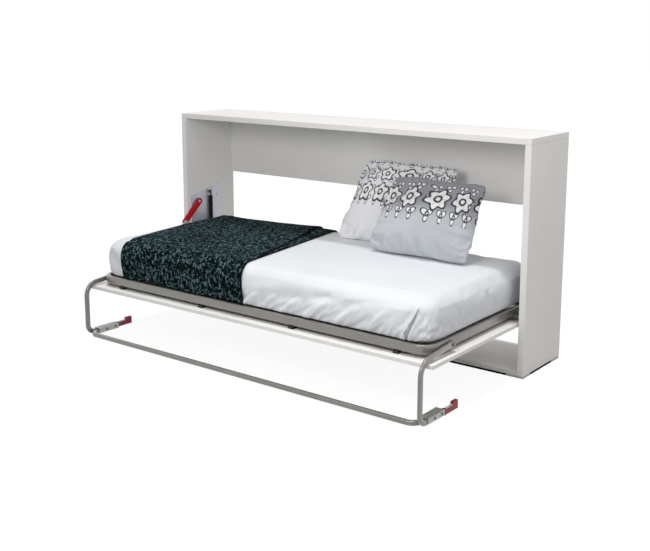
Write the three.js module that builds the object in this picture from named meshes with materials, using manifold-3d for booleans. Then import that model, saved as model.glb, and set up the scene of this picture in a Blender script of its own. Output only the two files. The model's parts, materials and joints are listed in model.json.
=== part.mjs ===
// A single bed that folds sideways into a low open cabinet, shown let down for sleeping.
// Millimetres, +Z up, +X along the bed, the bed opens towards -Y. The origin is on the floor,
// in the middle of the whole object's plan box.
import * as THREE from 'three';
import { mergeVertices } from 'three/addons/utils/BufferGeometryUtils.js';
import Module from 'manifold-3d';

const wasm = await Module();
wasm.setup();

// Cabinet
const cabinetWidth = 2060;
const cabinetDepth = 370;
const cabinetHeight = 1050;
const sideThickness = 30;
const topThickness = 28;
const shelfThickness = 18;
const backPanelThickness = 16;
const backPanelHeight = 324;
const boardEdge = 1.5;
const footHeight = 8;
const footWidth = 80;
const footDepth = 75;
const footInset = 2;
const fitGap = 0.3;

// Main hinge, measured from the cabinet's front plane and from the floor
const hingeSetback = 40;
const hingeHeight = 262;
const pivotRadius = 8;
const pivotCollarRadius = 13;
const runningGap = 0.3;

// Bed frame: reaches are measured forwards and backwards from the hinge axis, lips from the door
const frameHeight = 278.5;
const railTall = 40;
const railThick = 20;
const railEdge = 8;
const frameCornerRadius = 60;
const doorLip = 35;
const frameReachRear = 190;
const mechanismGap = 44.5;

// Door panel under the frame
const doorThickness = 18;
const doorDrop = 34;
const doorSideGap = 6;
const doorTopGap = 25;
const doorReachRear = 218;
const spacerWidth = 26;
const spacerDepth = 30;
const spacerLip = 1.5;
const spacerCount = 4;
const spacerInset = 155;
const rearSpacerCount = 2;
const rearSpacerInset = 255;

// Slats
const slatCount = 10;
const slatWidth = 62;
const slatThickness = 10;
const slatInset = 127.5;
const slatDrop = 1.2;
const slatCrown = 4;
const slatEndGap = 12;
const supportWidth = 30;
const supportHeight = 24;
const supportThickness = 3;

// Side mechanism, from the side panel's inner face inwards
const plateThickness = 2.5;
const plateFront = 30;
const plateRear = 250;
const plateFrontTop = 598;
const plateRearTop = 648;
const plateBottom = 205;
const plateHoles = [[188, 622], [222, 580]];
const screwRadius = 6;
const screwHeadHeight = 1.6;
const springStud = { y: 168, z: 606 };
const springLower = { reach: -128, rise: 20 };
const springRadius = 10;
const springTubeLength = 200;
const springNeck = 22;
const rodRadius = 4;
const rodClearance = 0.4;
const rodEngagement = 22;
const eyeRadius = 9;
const eyeThickness = 10;
const springLevel = 13.5;
const studRadius = 4;
const stayStud = { y: 82, z: 562 };
const stayLower = { reach: 235, rise: 60 };
const stayUpperLength = 153;
const stayWidth = 34;
const stayBarWidth = 24;
const stayDepth = 9;
const stayWall = 2.2;
const stayPinRadius = 5;
const stayUpperLevel = 4.7;
const stayBarThickness = 4;
const stayBarLevel = 15.4;
const bracketThickness = 3;
const bracketReachFront = 272;
const bracketReachRear = 150;
const bracketBand = 30;
const bracketBandRise = 4;
const earRadius = 14;
const hingeEarRadius = 15.5;
const bracketScrews = [-180, -75, 48, 90];
const shortBracketReach = 110;

// Folding leg: a hoop at each end and a bar between them
const legPivotInset = 155;
const legDoorGap = 32.5;
const legSlope = 22;
const legTall = 25;
const legThick = 15;
const legArmEnd = 13;
const legBackArm = 180;
const legUpperRadius = 62;
const legLowerRadius = 40;
const legLevel = 32.5;
const legBoltRadius = 6;
const legBoltHead = 11;
const legBoltHeadHeight = 4.4;
const barSize = 20;
const barEdge = 4;
const barRadius = 42;
const barBackEnd = 158;
const barGap = 0.8;
const saddleStart = 46;
const saddleEnd = 170;
const saddleWall = 2.5;
const rivetSpots = [95, 150];
const rivetRadius = 5;
const rivetHeight = 2;
const hookLength = 97;
const hookWall = 0.5;
const hookRise = 36;
const hookEnd = 36;
const hookShoulder = 8;
const hookSeat = 4;

// Soft goods
const mattressInset = 3;
const mattressHeight = 176;
const mattressFrontInset = 6;
const mattressRear = 218;
const mattressCorner = 85;
const mattressBulge = 9;
const mattressEdgeRadius = 58;
const mattressCrown = 5;
const softGap = 0.6;
const throwThickness = 5;
const throwInset = 165;
const throwWidth = 782;
const throwSkew = 0.135;
const throwHemGap = 6;
const throwRearDrop = 60;
const pillowThickness = 118;
const backPillow = {
  width: 543, height: 428, fromEnd: 692, setback: 90, lean: 0.3, yaw: 0.05, slump: 0.2, settle: -1.2,
};
const frontPillow = {
  width: 529, height: 388, fromEnd: 434, setback: 240, lean: 0.46, yaw: -0.01, slump: 0.05, settle: 0.3,
};
const pillowPull = 0.06;
const pillowCorner = 0.06;
const pillowTaper = 0.045;
const pillowSteps = 16;

// Places that follow from the sizes above
const innerHalf = cabinetWidth / 2 - sideThickness;
const frameHalf = innerHalf - mechanismGap;
const frameRise = frameHeight - hingeHeight;
const backPanelFront = cabinetDepth - backPanelThickness;
const doorReachFront = cabinetHeight - topThickness - doorTopGap - hingeHeight;
const doorTopRise = frameRise - doorDrop;
const frameReachFront = doorReachFront - doorLip;
const legPivotReach = frameReachFront - legPivotInset;
const legReach = doorReachFront + legDoorGap + legTall / 2 - legPivotReach;
const mattressFront = frameReachFront - mattressFrontInset;
const mattressHalf = frameHalf - mattressInset;
const mattressMiddle = (mattressRear - mattressFront) / 2;
const mattressHalfDepth = (mattressRear + mattressFront) / 2;
const mattressBase = frameHeight + railTall / 2 + fitGap;
const mattressTop = mattressBase + mattressHeight;
const legDrop = frameHeight - legTall / 2;
const frontmost = hingeSetback - legPivotReach - legReach - legTall / 2;
const planMiddle = (frontmost + cabinetDepth) / 2;

// Materials
const finish = (color, roughness, metalness = 0) =>
  new THREE.MeshStandardMaterial({ color, roughness, metalness });
const whiteBoard = finish(0xf1f0ee, 0.5);
const footPlastic = finish(0x8e9692, 0.6);
const greyTube = finish(0x86827c, 0.38, 0.7);
const zincSheet = finish(0xa9adb6, 0.42, 0.85);
const redPaint = finish(0x9c1522, 0.35, 0.2);
const redPlastic = finish(0xa5162c, 0.4);
const blackPaint = finish(0x17181a, 0.3, 0.3);
const blackPlastic = finish(0x1b1b1c, 0.55);
const chromeRod = finish(0xc9ccd1, 0.15, 1);
const beech = finish(0xd9bc8c, 0.6);
const whiteCotton = finish(0xe9ebf2, 0.9);
const darkKnit = finish(0x1d2a2e, 0.95);
const greyCotton = finish(0xc3c6d0, 0.9);

// Geometry helpers
// One vertex at each place, and no triangle that has lost its area.
function welded(geometry, tolerance = 1e-4) {
  const bare = geometry.clone();
  for (const extra of ['normal', 'uv']) bare.deleteAttribute(extra);
  bare.clearGroups();
  const merged = mergeVertices(bare, tolerance);
  const kept = [];
  const index = merged.index.array;
  for (let i = 0; i < index.length; i += 3) {
    const [a, b, c] = [index[i], index[i + 1], index[i + 2]];
    if (a !== b && b !== c && c !== a) kept.push(a, b, c);
  }
  merged.setIndex(kept);
  return merged;
}

function toSolid(geometry) {
  const mesh = welded(geometry);
  return new wasm.Manifold(new wasm.Mesh({
    numProp: 3,
    vertProperties: Float32Array.from(mesh.attributes.position.array),
    triVerts: Uint32Array.from(mesh.index.array),
  }));
}

function fromSolid(solid) {
  const mesh = solid.getMesh();
  const geometry = new THREE.BufferGeometry();
  geometry.setAttribute('position', new THREE.BufferAttribute(Float32Array.from(mesh.vertProperties), 3));
  geometry.setIndex(Array.from(mesh.triVerts));
  return geometry;
}

const joined = (...shapes) => fromSolid(shapes.map(toSolid).reduce((a, b) => a.add(b)));
const cut = (body, ...tools) => fromSolid(tools.map(toSolid).reduce((a, b) => a.subtract(b), toSolid(body)));

// The same shape for the other end of the bed.
function mirrored(geometry) {
  const other = welded(geometry);
  other.scale(-1, 1, 1);
  const index = Array.from(other.index.array);
  for (let i = 0; i < index.length; i += 3) [index[i + 1], index[i + 2]] = [index[i + 2], index[i + 1]];
  other.setIndex(index);
  return other;
}

function roundedRectangle(width, height, radius) {
  const [x, y] = [width / 2 - radius, height / 2 - radius];
  const shape = new THREE.Shape();
  shape.absarc(x, y, radius, 0, Math.PI / 2);
  shape.absarc(-x, y, radius, Math.PI / 2, Math.PI);
  shape.absarc(-x, -y, radius, Math.PI, 1.5 * Math.PI);
  shape.absarc(x, -y, radius, 1.5 * Math.PI, 2 * Math.PI);
  shape.closePath();
  return shape;
}

// A board with its edges broken, centred on its own middle.
function board(width, depth, height, edge = boardEdge) {
  const [w, d] = [width / 2 - edge, depth / 2 - edge];
  const corners = [[-w, -d], [w, -d], [w, d], [-w, d]];
  const outline = new THREE.Shape(corners.map(([x, y]) => new THREE.Vector2(x, y)));
  const geometry = new THREE.ExtrudeGeometry(outline, {
    depth: height - 2 * edge, bevelEnabled: true, bevelThickness: edge, bevelSize: edge, bevelSegments: 1,
  });
  return geometry.translate(0, 0, edge - height / 2);
}

// A side outline drawn in Y and Z, given a thickness along X from zero.
function acrossX(outline, thickness, curveSegments = 6) {
  const settings = { depth: thickness, bevelEnabled: false, curveSegments };
  const geometry = new THREE.ExtrudeGeometry(outline, settings);
  const turn = new THREE.Matrix4().makeBasis(
    new THREE.Vector3(0, 1, 0), new THREE.Vector3(0, 0, 1), new THREE.Vector3(1, 0, 0));
  return geometry.applyMatrix4(turn);
}

const disc = (radius, y, z, from, to, segments = 20) =>
  new THREE.CylinderGeometry(radius, radius, to - from, segments)
    .rotateZ(-Math.PI / 2).translate((from + to) / 2, y, z);

// A turned piece about the X axis: pairs of radius and place along X.
const turnedAlongX = (profile, segments = 24) =>
  new THREE.LatheGeometry(profile.map(([radius, x]) => new THREE.Vector2(radius, x)), segments)
    .rotateZ(-Math.PI / 2);

// A path of straight runs and round bends. It is sampled only where it bends.
class BentPath extends THREE.Curve {
  constructor(corners, radii, bendSteps = 6) {
    super();
    this.stations = [];
    const last = corners.length - 1;
    const towards = (a, b) => b.clone().sub(a).normalize();
    this.add(corners[0], towards(corners[0], corners[1]));
    for (let i = 1; i < last; i++) {
      const [into, out] = [towards(corners[i - 1], corners[i]), towards(corners[i], corners[i + 1])];
      const angle = into.angleTo(out);
      const setback = radii[i - 1] * Math.tan(angle / 2);
      const start = corners[i].clone().addScaledVector(into, -setback);
      const axis = new THREE.Vector3().crossVectors(into, out).normalize();
      const spoke = new THREE.Vector3().crossVectors(into, axis).multiplyScalar(radii[i - 1]);
      const centre = start.clone().sub(spoke);
      for (let k = 0; k <= bendSteps; k++) {
        const turn = (angle * k) / bendSteps;
        const point = spoke.clone().applyAxisAngle(axis, turn).add(centre);
        this.add(point, into.clone().applyAxisAngle(axis, turn));
      }
    }
    this.add(corners[last], towards(corners[last - 1], corners[last]));
  }

  add(point, tangent) {
    this.stations.push({ point: point.clone(), tangent: tangent.clone() });
  }

  get steps() {
    return this.stations.length - 1;
  }

  getPointAt(u) {
    return this.stations[Math.round(u * this.steps)].point.clone();
  }

  getTangentAt(u) {
    return this.stations[Math.round(u * this.steps)].tangent.clone();
  }
}

function bentTube(section, corners, radii, bendSteps) {
  const path = new BentPath(corners, radii, bendSteps);
  return new THREE.ExtrudeGeometry(section, { steps: path.steps, curveSegments: 3, extrudePath: path });
}

// Scene graph helpers
const wholeObject = new THREE.Group();
wholeObject.position.y = -planMiddle;
const bed = new THREE.Group();
bed.position.set(0, hingeSetback, hingeHeight);
const leg = new THREE.Group();
leg.position.set(0, -legPivotReach, frameRise);
wholeObject.add(bed);
bed.add(leg);

function place(group, name, geometry, material, x = 0, y = 0, z = 0) {
  const mesh = new THREE.Mesh(geometry, material);
  mesh.name = name;
  mesh.position.set(x, y, z);
  group.add(mesh);
  return mesh;
}

// A piece modelled for the right end, at x from the middle, and its mirror image for the left end.
function placePair(group, name, geometry, material, x = 0, y = 0, z = 0) {
  return [
    place(group, `${name}_right`, geometry, material, x, y, z),
    place(group, `${name}_left`, mirrored(geometry), material, -x, y, z),
  ];
}

// Even places from one end of a row to the other, about its middle.
const spread = (count, half) => Array.from({ length: count }, (_, i) => half * ((2 * i) / (count - 1) - 1));

// Cabinet
function buildCabinet() {
  const topZ = cabinetHeight - topThickness / 2;
  const sideHeight = cabinetHeight - topThickness - footHeight - 2 * fitGap;
  const sideZ = footHeight + fitGap + sideHeight / 2;
  const innerWidth = 2 * (innerHalf - fitGap);
  const middleY = cabinetDepth / 2;
  place(wholeObject, 'top_panel', board(cabinetWidth, cabinetDepth, topThickness), whiteBoard,
    0, middleY, topZ);
  placePair(wholeObject, 'side_panel', board(sideThickness, cabinetDepth, sideHeight), whiteBoard,
    innerHalf + sideThickness / 2, middleY, sideZ);
  place(wholeObject, 'bottom_shelf', board(innerWidth, cabinetDepth, shelfThickness), whiteBoard,
    0, middleY, footHeight + fitGap + shelfThickness / 2);
  const backPanel = board(innerWidth, backPanelThickness, backPanelHeight - fitGap);
  const backPanelZ = cabinetHeight - topThickness - fitGap / 2 - backPanelHeight / 2;
  place(wholeObject, 'upper_back_panel', backPanel, whiteBoard,
    0, backPanelFront + backPanelThickness / 2, backPanelZ);
  const footX = cabinetWidth / 2 - footInset - footWidth / 2;
  const footY = footInset + footDepth / 2;
  for (const [end, y] of [['front', footY], ['rear', cabinetDepth - footY]]) {
    placePair(wholeObject, `foot_${end}`, board(footWidth, footDepth, footHeight, 1), footPlastic,
      footX, y, footHeight / 2);
  }
}

// The sheet steel plate on each side panel, with the studs that the spring and the stay turn on.
// X runs from the side panel's face towards the bed as a negative level.
function buildPlates() {
  const outline = new THREE.Shape([
    [plateFront, plateBottom], [plateRear, plateBottom],
    [plateRear, plateRearTop], [plateFront, plateFrontTop],
  ].map(([y, z]) => new THREE.Vector2(y, z)));
  const faceLevel = -fitGap - plateThickness;
  const sheet = acrossX(outline, plateThickness).translate(faceLevel, 0, 0);
  const holes = plateHoles.map(([y, z]) => disc(screwRadius, y, z, faceLevel - 1, 0));
  const pivotHole = disc(pivotRadius + runningGap, hingeSetback, hingeHeight, faceLevel - 1, 0, 24);
  const springEnd = -springLevel - eyeThickness / 2 - 2;
  const springStuds = [
    disc(studRadius, springStud.y, springStud.z, springEnd, faceLevel + 1),
    disc(studRadius + 2, springStud.y, springStud.z, -springLevel + eyeThickness / 2 + fitGap, faceLevel + 1),
    disc(studRadius + 2, springStud.y, springStud.z, springEnd - 2, springEnd),
  ];
  const stayHead = -stayUpperLevel - stayWall - 4;
  const stayStuds = [
    disc(stayPinRadius, stayStud.y, stayStud.z, stayHead, faceLevel + 1),
    disc(stayPinRadius + 2, stayStud.y, stayStud.z, stayHead, -stayUpperLevel - stayWall - fitGap),
  ];
  const screws = [];
  for (const y of [plateFront + 22, plateRear - 22]) {
    for (const z of [plateBottom + 30, (plateBottom + plateFrontTop) / 2, plateFrontTop - 24]) {
      screws.push(disc(screwRadius, y, z, faceLevel - screwHeadHeight, faceLevel + 1, 12));
    }
  }
  const plate = joined(sheet, ...springStuds, ...screws);
  const right = cut(plate, ...holes, pivotHole);
  const left = mirrored(cut(joined(plate, ...stayStuds), ...holes, pivotHole));
  place(wholeObject, 'mechanism_plate_right', right, zincSheet, innerHalf);
  place(wholeObject, 'mechanism_plate_left', left, zincSheet, -innerHalf);
}

// The pin that the whole bed turns on, with a collar that keeps the frame off the plate.
function buildPivotPins() {
  const frameSide = -mechanismGap + fitGap;
  const bracketFace = frameSide + bracketThickness;
  const collarEnd = -fitGap - plateThickness - fitGap;
  const profile = [
    [0, frameSide + 0.2], [pivotRadius, frameSide + 0.2], [pivotRadius, bracketFace + fitGap],
    [pivotCollarRadius, bracketFace + fitGap], [pivotCollarRadius, collarEnd], [pivotRadius, collarEnd],
    [pivotRadius, -fitGap], [0, -fitGap],
  ];
  placePair(wholeObject, 'pivot_pin', turnedAlongX(profile), zincSheet, innerHalf, hingeSetback, hingeHeight);
}

// Gas spring: the tube turns on the plate's stud, and the rod slides in its bore.
const springOpen = new THREE.Vector2(
  hingeSetback - springLower.reach - springStud.y, hingeHeight + springLower.rise - springStud.z);
const springClosed = new THREE.Vector2(
  hingeSetback + springLower.rise - springStud.y, hingeHeight + springLower.reach - springStud.z);
const springStroke = springClosed.length() - springOpen.length();

function buildSprings() {
  const swing = Math.atan2(springOpen.x, -springOpen.y);
  const length = springOpen.length();
  const tubeTop = -springNeck;
  const tubeBottom = tubeTop - springTubeLength;
  const rodTop = tubeBottom + springStroke + rodEngagement;
  const boreRadius = rodRadius + rodClearance;
  const tubeProfile = [
    [0, tubeTop], [rodRadius + 1, tubeTop], [springRadius, tubeTop - 4], [springRadius, tubeBottom + 3],
    [springRadius - 2, tubeBottom], [boreRadius, tubeBottom], [boreRadius, rodTop + 6], [0, rodTop + 6],
  ].reverse();
  const turned = (profile) => new THREE.LatheGeometry(profile.map(([r, z]) => new THREE.Vector2(r, z)), 20)
    .rotateX(Math.PI / 2);
  const eye = (z) => disc(eyeRadius, 0, z, -eyeThickness / 2, eyeThickness / 2);
  const neck = new THREE.CylinderGeometry(rodRadius, rodRadius, springNeck - 6, 12)
    .rotateX(Math.PI / 2).translate(0, 0, -springNeck / 2 - 3);
  const tube = cut(joined(turned(tubeProfile), neck, eye(0)),
    disc(studRadius + runningGap, 0, 0, -eyeThickness, eyeThickness));
  const rod = joined(
    turned([[0, -length + 4], [rodRadius, -length + 4], [rodRadius, rodTop], [0, rodTop]]), eye(-length));
  for (const [name, geometry, material] of [
    ['gas_spring_tube', tube, blackPaint], ['gas_spring_rod', rod, chromeRod],
  ]) {
    for (const mesh of placePair(wholeObject, name, geometry, material,
      innerHalf - springLevel, springStud.y, springStud.z)) mesh.rotation.x = swing;
  }
}

// Folding stay, at the left end only: a red channel hinged on the plate and a flat bar on the frame.
const stayOpen = new THREE.Vector2(
  hingeSetback - stayLower.reach - stayStud.y, hingeHeight + stayLower.rise - stayStud.z);
const stayBarLength = stayOpen.length() - stayUpperLength;

function stayOutline(length, width) {
  const outline = new THREE.Shape();
  outline.absarc(0, 0, width / 2, Math.PI / 2, 1.5 * Math.PI);
  outline.absarc(length, 0, width / 2, -Math.PI / 2, Math.PI / 2);
  outline.closePath();
  return outline;
}

function buildStay() {
  const slope = Math.atan2(stayOpen.y, stayOpen.x);
  const web = acrossX(stayOutline(stayUpperLength, stayWidth), stayDepth);
  const hollow = acrossX(stayOutline(stayUpperLength, stayWidth - 2 * stayWall), stayDepth);
  const channel = cut(web.translate(-stayDepth, 0, 0), hollow.translate(-stayDepth - stayWall, 0, 0),
    disc(stayPinRadius + runningGap, 0, 0, -stayDepth - 1, 1));
  const knee = disc(stayPinRadius, stayUpperLength, 0, -stayDepth, -stayWall / 2);
  const upper = joined(channel, knee);
  const bar = cut(acrossX(stayOutline(stayBarLength, stayBarWidth), stayBarThickness),
    disc(stayPinRadius + runningGap, 0, 0, -1, stayBarThickness + 1));
  const channelMesh = place(wholeObject, 'stay_channel', mirrored(upper), redPaint,
    stayUpperLevel - innerHalf, stayStud.y, stayStud.z);
  channelMesh.rotation.x = slope;
  const barMesh = place(bed, 'stay_bar', mirrored(bar), zincSheet,
    stayBarLevel + stayBarThickness - innerHalf, -stayLower.reach, stayLower.rise);
  barMesh.rotation.x = slope + Math.PI;
}

// Bed frame
const alongY = (y, x = 0, z = 0) => new THREE.Vector3(x, y, z);

function buildFrame() {
  const section = roundedRectangle(railTall, railThick, railEdge);
  const lineX = frameHalf - railThick / 2;
  const lineFront = -(frameReachFront - railThick / 2);
  const lineRear = frameReachRear - railThick / 2;
  const bend = frameCornerRadius + 30;
  const uShape = (line, sign) => bentTube(section, [
    new THREE.Vector3(lineX, line + sign * bend, 0), new THREE.Vector3(lineX, line, 0),
    new THREE.Vector3(-lineX, line, 0), new THREE.Vector3(-lineX, line + sign * bend, 0),
  ], [frameCornerRadius, frameCornerRadius], 7);
  place(bed, 'frame_front_rail', uShape(lineFront, 1), greyTube, 0, 0, frameRise);
  place(bed, 'frame_rear_rail', uShape(lineRear, -1), greyTube, 0, 0, frameRise);
  const [sideFrom, sideTo] = [lineRear - bend - fitGap, lineFront + bend + fitGap];
  const straight = bentTube(section, [alongY(sideFrom), alongY(sideTo)], []);
  placePair(bed, 'frame_side_rail', straight, greyTube, lineX, 0, frameRise);
}

// Angle strips inside the long rails carry the slats.
function buildSlats() {
  const topOfRail = frameRise + railTall / 2;
  const slatTop = topOfRail - slatDrop;
  const supportTop = slatTop - slatCrown - slatThickness - fitGap;
  const innerFront = -(frameReachFront - railThick) + fitGap;
  const innerRear = frameReachRear - railThick - fitGap;
  const length = 2 * (frameHalf - railThick - frameCornerRadius);
  const angle = new THREE.Shape([
    [0, 0], [supportWidth, 0], [supportWidth, -supportThickness], [supportThickness, -supportThickness],
    [supportThickness, -supportHeight], [0, -supportHeight],
  ].reverse().map(([y, z]) => new THREE.Vector2(y, z)));
  const strip = () => acrossX(angle, length);
  place(bed, 'slat_support_front', strip(), greyTube, -length / 2, innerFront, supportTop);
  const rear = place(bed, 'slat_support_rear', strip(), greyTube, length / 2, innerRear, supportTop);
  rear.rotation.z = Math.PI;
  const from = innerFront + slatEndGap;
  const to = innerRear - slatEndGap;
  const arch = new THREE.Shape();
  arch.moveTo(from, 0);
  arch.lineTo(to, 0);
  arch.lineTo(to, slatThickness);
  arch.quadraticCurveTo((from + to) / 2, slatThickness + 2 * slatCrown, from, slatThickness);
  arch.closePath();
  const underside = new THREE.Shape();
  underside.moveTo(from, 0);
  underside.quadraticCurveTo((from + to) / 2, 2 * slatCrown, to, 0);
  underside.closePath();
  const bow = cut(acrossX(arch, slatWidth, 8), acrossX(underside, slatWidth + 2, 8).translate(-1, 0, -0.01));
  spread(slatCount, frameHalf - slatInset).forEach((x, i) =>
    place(bed, `slat_${i + 1}`, bow, beech, x - slatWidth / 2, 0, supportTop + fitGap));
}

function buildDoor() {
  const depth = doorReachFront + doorReachRear;
  const width = 2 * (innerHalf - doorSideGap);
  place(bed, 'door_panel', board(width, depth, doorThickness), whiteBoard,
    0, (doorReachRear - doorReachFront) / 2, doorTopRise - doorThickness / 2);
  const height = doorDrop - railTall / 2 - 2 * fitGap;
  const block = () => board(spacerWidth, spacerDepth, height, 1);
  const z = doorTopRise + fitGap + height / 2;
  const frontY = -frameReachFront - spacerLip + spacerDepth / 2;
  const rearY = frameReachRear + spacerLip - spacerDepth / 2;
  spread(spacerCount, frameHalf - spacerInset).forEach((x, i) =>
    place(bed, `door_spacer_front_${i + 1}`, block(), blackPlastic, x, frontY, z));
  spread(rearSpacerCount, frameHalf - rearSpacerInset).forEach((x, i) =>
    place(bed, `door_spacer_rear_${i + 1}`, block(), blackPlastic, x, rearY, z));
}

// The steel plate on each side rail: it turns on the pivot pin and the gas spring lifts it.
// The left one reaches further forward, with an ear for the stay.
function buildHingeBrackets() {
  const low = bracketBandRise - 1;
  const high = bracketBandRise + bracketBand;
  const t = bracketThickness;
  const band = (nose) => acrossX(new THREE.Shape([
    [-nose, low + 9], [-nose + 34, low], [bracketReachRear, low], [bracketReachRear, high], [-nose, high],
  ].map(([y, z]) => new THREE.Vector2(y, z))), t);
  const gusset = acrossX(new THREE.Shape([
    [-stayLower.reach - 34, high - 2], [-stayLower.reach + 34, high - 2],
    [-stayLower.reach + earRadius, stayLower.rise], [-stayLower.reach - earRadius, stayLower.rise],
  ].map(([y, z]) => new THREE.Vector2(y, z))), t);
  const rodFace = mechanismGap - springLevel - eyeThickness / 2 - 2 * fitGap;
  const screws = (nose) => bracketScrews.filter((y) => y > -nose + 2 * screwRadius)
    .map((y) => disc(screwRadius, y, frameRise + 2, 0, t + screwHeadHeight, 12));
  const common = [
    disc(hingeEarRadius, 0, 0, 0, t, 28),
    disc(earRadius, -springLower.reach, springLower.rise, 0, t, 24),
    disc(studRadius, -springLower.reach, springLower.rise, 0, rodFace, 16),
  ];
  const stayEar = [
    gusset,
    disc(earRadius, -stayLower.reach, stayLower.rise, 0, t, 24),
    disc(stayPinRadius, -stayLower.reach, stayLower.rise, 0, mechanismGap - stayBarLevel - fitGap, 16),
  ];
  const hole = disc(pivotRadius + runningGap, 0, 0, -1, t + 1, 24);
  const bracket = (nose, ...extra) => cut(joined(band(nose), ...common, ...screws(nose), ...extra), hole);
  const right = bracket(shortBracketReach);
  const left = bracket(bracketReachFront, ...stayEar);
  place(bed, 'hinge_bracket_right', right, greyTube, frameHalf + fitGap);
  place(bed, 'hinge_bracket_left', mirrored(left), greyTube, -frameHalf - fitGap);
}

// Leg
function buildLeg() {
  const foot = alongY(-legReach, 0, -legDrop);
  const elbow = alongY(-legReach, 0, -legSlope);
  const slopeLength = Math.hypot(legReach, legSlope);
  const start = elbow.clone().multiplyScalar(-legArmEnd / slopeLength);
  const tip = alongY(-legReach + legBackArm, 0, -legDrop);
  const section = roundedRectangle(legThick, legTall, 5);
  const hoop = cut(bentTube(section, [start, elbow, foot, tip], [legUpperRadius, legLowerRadius], 8),
    disc(legBoltRadius + runningGap, 0, 0, -legThick, legThick));
  placePair(leg, 'leg_hoop', hoop, greyTube, innerHalf - legLevel);

  const innerFace = innerHalf - legLevel - legThick / 2;
  const lineX = innerFace - barGap - barSize / 2;
  const back = -legReach + barBackEnd;
  const bar = bentTube(roundedRectangle(barSize, barSize, barEdge), [
    new THREE.Vector3(lineX, back, 0), new THREE.Vector3(lineX, -legReach, 0),
    new THREE.Vector3(-lineX, -legReach, 0), new THREE.Vector3(-lineX, back, 0),
  ], [barRadius, barRadius], 7);
  place(leg, 'leg_crossbar', bar, greyTube, 0, 0, -legDrop);

  const spacerFrom = frameHalf - innerHalf + fitGap;
  const hoopFrom = -legLevel - legThick / 2;
  const headFrom = -legLevel + legThick / 2 + fitGap;
  const bolt = turnedAlongX([
    [0, spacerFrom], [legBoltHead, spacerFrom], [legBoltHead, hoopFrom - fitGap],
    [legBoltRadius, hoopFrom - fitGap], [legBoltRadius, headFrom], [legBoltHead, headFrom],
    [legBoltHead, headFrom + legBoltHeadHeight * 0.5],
    [legBoltHead * 0.7, headFrom + legBoltHeadHeight], [0, headFrom + legBoltHeadHeight],
  ]);
  placePair(bed, 'leg_pivot_bolt', bolt, zincSheet, innerHalf, -legPivotReach, frameRise);
  buildLegEnds();
}

// A zinc saddle ties the bar's end to the hoop's lower arm, and a red hook closes the arm.
function buildLegEnds() {
  const outer = -legLevel + legThick / 2 + fitGap;
  const inner = -legLevel - legThick / 2 - barGap - barSize - fitGap;
  const top = legTall / 2 + fitGap;
  const low = -legTall / 2 + 4;
  const length = saddleEnd - saddleStart;
  const width = outer - inner;
  const wrap = new THREE.BoxGeometry(width + 2 * saddleWall, length, top + saddleWall - low)
    .translate((outer + inner) / 2, 0, (top + saddleWall + low) / 2);
  const room = new THREE.BoxGeometry(width, length + 2, top - low + 2)
    .translate((outer + inner) / 2, 0, (top + low) / 2 - 1);
  const rivets = [];
  for (const y of rivetSpots.map((spot) => spot - (saddleStart + saddleEnd) / 2)) {
    rivets.push(disc(rivetRadius, y, 0, outer, outer + saddleWall + rivetHeight, 12));
    rivets.push(disc(rivetRadius, y, 0, inner - saddleWall - rivetHeight, inner, 12));
  }
  const saddle = joined(cut(wrap, room), ...rivets);
  placePair(leg, 'leg_saddle', saddle, zincSheet,
    innerHalf, -legReach + (saddleStart + saddleEnd) / 2, -legDrop);

  const [half, back] = [legTall / 2 - hookWall, hookLength];
  const outline = new THREE.Shape([
    [fitGap, -half], [back, -half], [back, hookRise - legTall / 2], [back - hookEnd, hookRise - legTall / 2],
    [back - hookEnd, half - hookSeat], [hookShoulder, half - hookSeat], [hookShoulder, half], [fitGap, half],
  ].map(([y, z]) => new THREE.Vector2(y, z)));
  placePair(leg, 'foot_hook', acrossX(outline, legThick).translate(-legThick / 2, 0, 0), redPlastic,
    innerHalf - legLevel, -legReach + legBackArm, -legDrop);
}

// Soft goods
// A closed skin over rings of points that run from the bottom to the top.
function lofted(rings, bottom, top) {
  const count = rings[0].length;
  const positions = rings.flat().flatMap((p) => [p.x, p.y, p.z]);
  const index = [];
  for (let r = 0; r + 1 < rings.length; r++) {
    for (let i = 0; i < count; i++) {
      const [a, b] = [r * count + i, r * count + ((i + 1) % count)];
      index.push(a, b, b + count, a, b + count, a + count);
    }
  }
  const [low, high] = [positions.length / 3, positions.length / 3 + 1];
  positions.push(bottom.x, bottom.y, bottom.z, top.x, top.y, top.z);
  const lastRing = (rings.length - 1) * count;
  for (let i = 0; i < count; i++) {
    const next = (i + 1) % count;
    index.push(low, next, i, high, lastRing + i, lastRing + next);
  }
  const geometry = new THREE.BufferGeometry();
  geometry.setAttribute('position', new THREE.Float32BufferAttribute(positions, 3));
  geometry.setIndex(index);
  return geometry;
}

// The mattress's side from bottom to top: how far in from the widest line, and how high.
function mattressProfile() {
  const profile = [[14, 0], [4, 14], [0, mattressHeight * 0.34], [mattressBulge * 0.2, mattressHeight * 0.5]];
  const rise = mattressHeight - mattressCrown;
  for (let k = 0; k <= 5; k++) {
    const angle = (Math.PI / 2) * (k / 5);
    profile.push([
      mattressBulge * 0.5 + mattressEdgeRadius * (1 - Math.cos(angle)),
      rise - mattressEdgeRadius * (1 - Math.sin(angle)),
    ]);
  }
  profile.push([mattressEdgeRadius * 1.7, rise + mattressCrown * 0.55]);
  profile.push([mattressHalfDepth * 0.55, mattressHeight]);
  return profile;
}

function mattressRing(inset, z) {
  const radius = Math.max(mattressCorner - inset * 0.6, 12);
  const outline = roundedRectangle(2 * (mattressHalf - inset), 2 * (mattressHalfDepth - inset), radius);
  const points = [];
  for (const curve of outline.curves.filter((part) => part.isEllipseCurve)) {
    points.push(...curve.getPoints(6));
  }
  return points.map((p) => new THREE.Vector3(p.x, p.y, z));
}

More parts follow.
